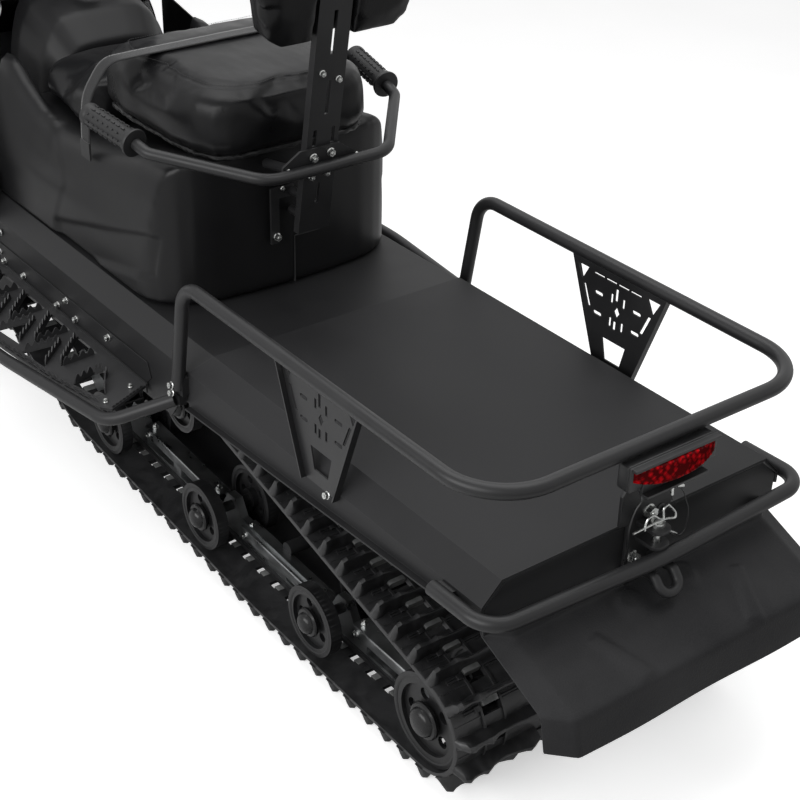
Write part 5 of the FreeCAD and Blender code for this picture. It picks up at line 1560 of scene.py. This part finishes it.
pan_shell = folded("pan_shell", "belly_pan", 9.0)
panel_shell = folded("panel_shell", "side_panels", 1.6)
bm = bmesh.new()
for side in (1, -1):
    for step in range(6):
        x = 1790 + step * 30
        low = at(x, side * 334, 470)
        add_block(bm, low, at(x + 14, side * (341 + step * 0.6), 620))
    for x, z in ((1690, 380), (1700, 540), (1990, 390), (1996, 720), (1850, 372)):
        add_turned(bm, at(x, side * (324 + (x - 1655) * 0.05), z), Vector((0, side, 0)),
                   [(0, 0), (9, 0), (9, 3), (6, 6), (0, 6)], sides=18)
for x in (2200, 2300, 2400, 2500):
    add_block(bm, at(x, -110, 170), at(x + 60, 110, 175))
rounded(finish_piece("panel_trim", bm, black_plastic), 1.2)
print("pan and panels:", face_count(pan_shell) + face_count(panel_shell), "triangles")

# %% [markdown]
# ## Skis and controls
# A ski is cut and bent from thick polyethylene, so its edges are rounded and its sole has two
# steps beside the keel. The handlebar carries levers on two round clamps.

# %% Skis with their keels and bolts
SKI_Y = 465
for word, side in (("left", 1), ("right", -1)):
    node, body = "ski_" + word, word + "_ski"
    bm = copy_of(node)
    for dy in (-42, 42):
        for step in range(7):
            x = 2050 + step * 92
            add_block(bm, at(x, side * SKI_Y + dy - 5, 17), at(x + 93, side * SKI_Y + dy + 5, 23))
    ski = finish_piece(node + "_blade", bm, ski_plastic, (node,), body=body)
    rounded(ski, 2.2, angle=28)
    bm = bmesh.new()
    foot = at(2330, side * SKI_Y, 87)
    for way in (1, -1):
        add_bolt(bm, foot + Vector((0, way * 46 * MM, 0)), Vector((0, way, 0)), across=18)
        for x in (2246, 2414):
            add_bolt(bm, at(x, side * SKI_Y + way * 56, 18), UP, across=12)
    finish_piece(node + "_bolts", bm, zinc, body=body)
    print("ski", word, face_count(ski), "triangles")

# %% Levers, clamps, switch blocks and the foam pad on the bar
bm = bmesh.new()
bar_high = at(1850, 0, 1060)
for side in (1, -1):
    outer = bar_high + Vector((-78, side * 370, 34)) * MM
    inner = bar_high + Vector((-40, side * 190, 44)) * MM
    run = (outer - inner).normalized()
    clamp_at = inner + run * 22 * MM
    collar = [(11, 0), (18, 0), (19, 2), (19, 20), (18, 22), (11, 22)]
    switches = [(11, 0), (21, 0), (22, 3), (22, 15), (20, 18), (11, 18)]
    add_turned(bm, clamp_at, run, collar, sides=28)
    add_turned(bm, inner - run * 2 * MM, run, switches, sides=28)
    ahead = Vector((0.96, 0, 0.26))
    pivot = clamp_at + run * 11 * MM + ahead * 26 * MM
    reach = [pivot + (run * out + ahead * fore) * MM
             for out, fore in ((0, -12), (0, 0), (40, 12), (96, 10), (134, 4), (140, 8))]
    add_wire(bm, smooth_line(reach, steps=5), 5.0, sides=10)
levers = finish_piece("bar_levers", bm, black_plastic, body="steering")
bm = bmesh.new()
foam_path = [bar_high + Vector((0, y, 6 + 10 * max(0.0, (abs(y) - 36) / 60))) * MM
             for y in range(-96, 97, 8)]
add_wire(bm, foam_path, 27, sides=24)
bar_pad = finish_piece("bar_pad", bm, grip_rubber, (), 50, "steering")
rounded(bar_pad, 4.0, angle=50)
print("controls:", face_count(levers) + face_count(bar_pad), "triangles")

# %% [markdown]
# ## Floor, light and camera
# A pale studio floor and a white surround keep black parts readable: the eye sees them by what
# they mirror. The world is white to the camera, to mirrors and to glass, and much weaker for the
# light that falls on the part, so that nothing is washed out.

# %% The surround
def either(tree, first, second):
    """1 where one of two rays is meant."""
    return add(tree, "Math", {0: first, 1: second}, operation="MAXIMUM").outputs[0]


world = bpy.data.worlds.new("pale_studio")
bpy.context.scene.world = world
world.use_nodes = True
sky = world.node_tree
sky.nodes.clear()
ray = add(sky, "LightPath").outputs
seen = either(sky, ray["Is Camera Ray"], ray["Is Glossy Ray"])
seen = either(sky, seen, ray["Is Transmission Ray"])
bright = add(sky, "Background", {"Color": (1, 1, 1, 1), "Strength": 1.0})
dim = add(sky, "Background", {"Color": (1, 1, 1, 1), "Strength": 0.32})
both = add(sky, "MixShader", {0: seen, 1: dim.outputs[0], 2: bright.outputs[0]})
add(sky, "OutputWorld", {"Surface": both.outputs[0]})

# %% The floor, pale to the eye but dull to the light that bounces up, so undersides stay dark
bm = bmesh.new()
bmesh.ops.create_grid(bm, x_segments=1, y_segments=1, size=12.0)
floor_mesh = baked(bm, "studio_floor")
floor = link("studio_floor", floor_mesh)
paper = bpy.data.materials.new("pale_paper")
paper.use_nodes = True
tree = paper.node_tree
tree.nodes.clear()
fibre = add(tree, "TexNoise", {"Vector": add(tree, "TexCoord").outputs["Object"], "Scale": 3.0})
pale = mixed(tree, fibre.outputs[0], colour("f7f7f7"), colour("ffffff"))
matt = add(tree, "BsdfDiffuse", {"Color": pale})
ray = add(tree, "LightPath").outputs
mirrored = either(tree, ray["Is Glossy Ray"], ray["Is Transmission Ray"])
lift = add(tree, "Emission", {"Color": (1, 1, 1, 1), "Strength": 0.5})
lit = add(tree, "AddShader", {0: matt.outputs[0], 1: lift.outputs[0]})
dull = add(tree, "BsdfDiffuse", {"Color": (0.2, 0.2, 0.2, 1)})
around = add(tree, "MixShader", {0: mirrored, 1: dull.outputs[0], 2: matt.outputs[0]})
shown = add(tree, "MixShader", {0: ray["Is Camera Ray"], 1: around.outputs[0], 2: lit.outputs[0]})
add(tree, "OutputMaterial", {"Surface": shown.outputs[0]})
floor_mesh.materials.append(paper)

# %% Soft boxes
def soft_box(name, place, aim, width, height, watts):
    """A lamp as large as a window, aimed at a spot."""
    lamp = bpy.data.lights.new(name, "AREA")
    lamp.shape = "RECTANGLE"
    lamp.size = width
    lamp.size_y = height
    lamp.energy = watts
    thing = link(name, lamp)
    thing.location = place
    thing.rotation_euler = (Vector(aim) - Vector(place)).to_track_quat("-Z", "Y").to_euler()


soft_box("overhead", (-0.4, -0.3, 3.2), (-0.5, 0, 0.4), 3.6, 2.2, 62)
soft_box("left_bank", (-1.2, 3.2, 2.0), (-0.6, 0, 0.4), 3.4, 1.6, 90)

# %% The camera
lens = bpy.data.cameras.new("view")
lens.sensor_width = 36.0
lens.lens = 71.09
camera = link("view", lens)
spot = at(-1347.9, 1508.2, 1880.6)
aim = at(487.0, 98.0, 500.0)
ROLL = math.radians(1.38)
camera.location = spot
turn = (aim - spot).to_track_quat("-Z", "Y").to_matrix().to_4x4() @ Matrix.Rotation(ROLL, 4, "Z")
camera.rotation_euler = turn.to_euler()
bpy.context.scene.camera = camera
bpy.context.scene.view_settings.view_transform = "Standard"
print("camera at", [round(value, 3) for value in spot])
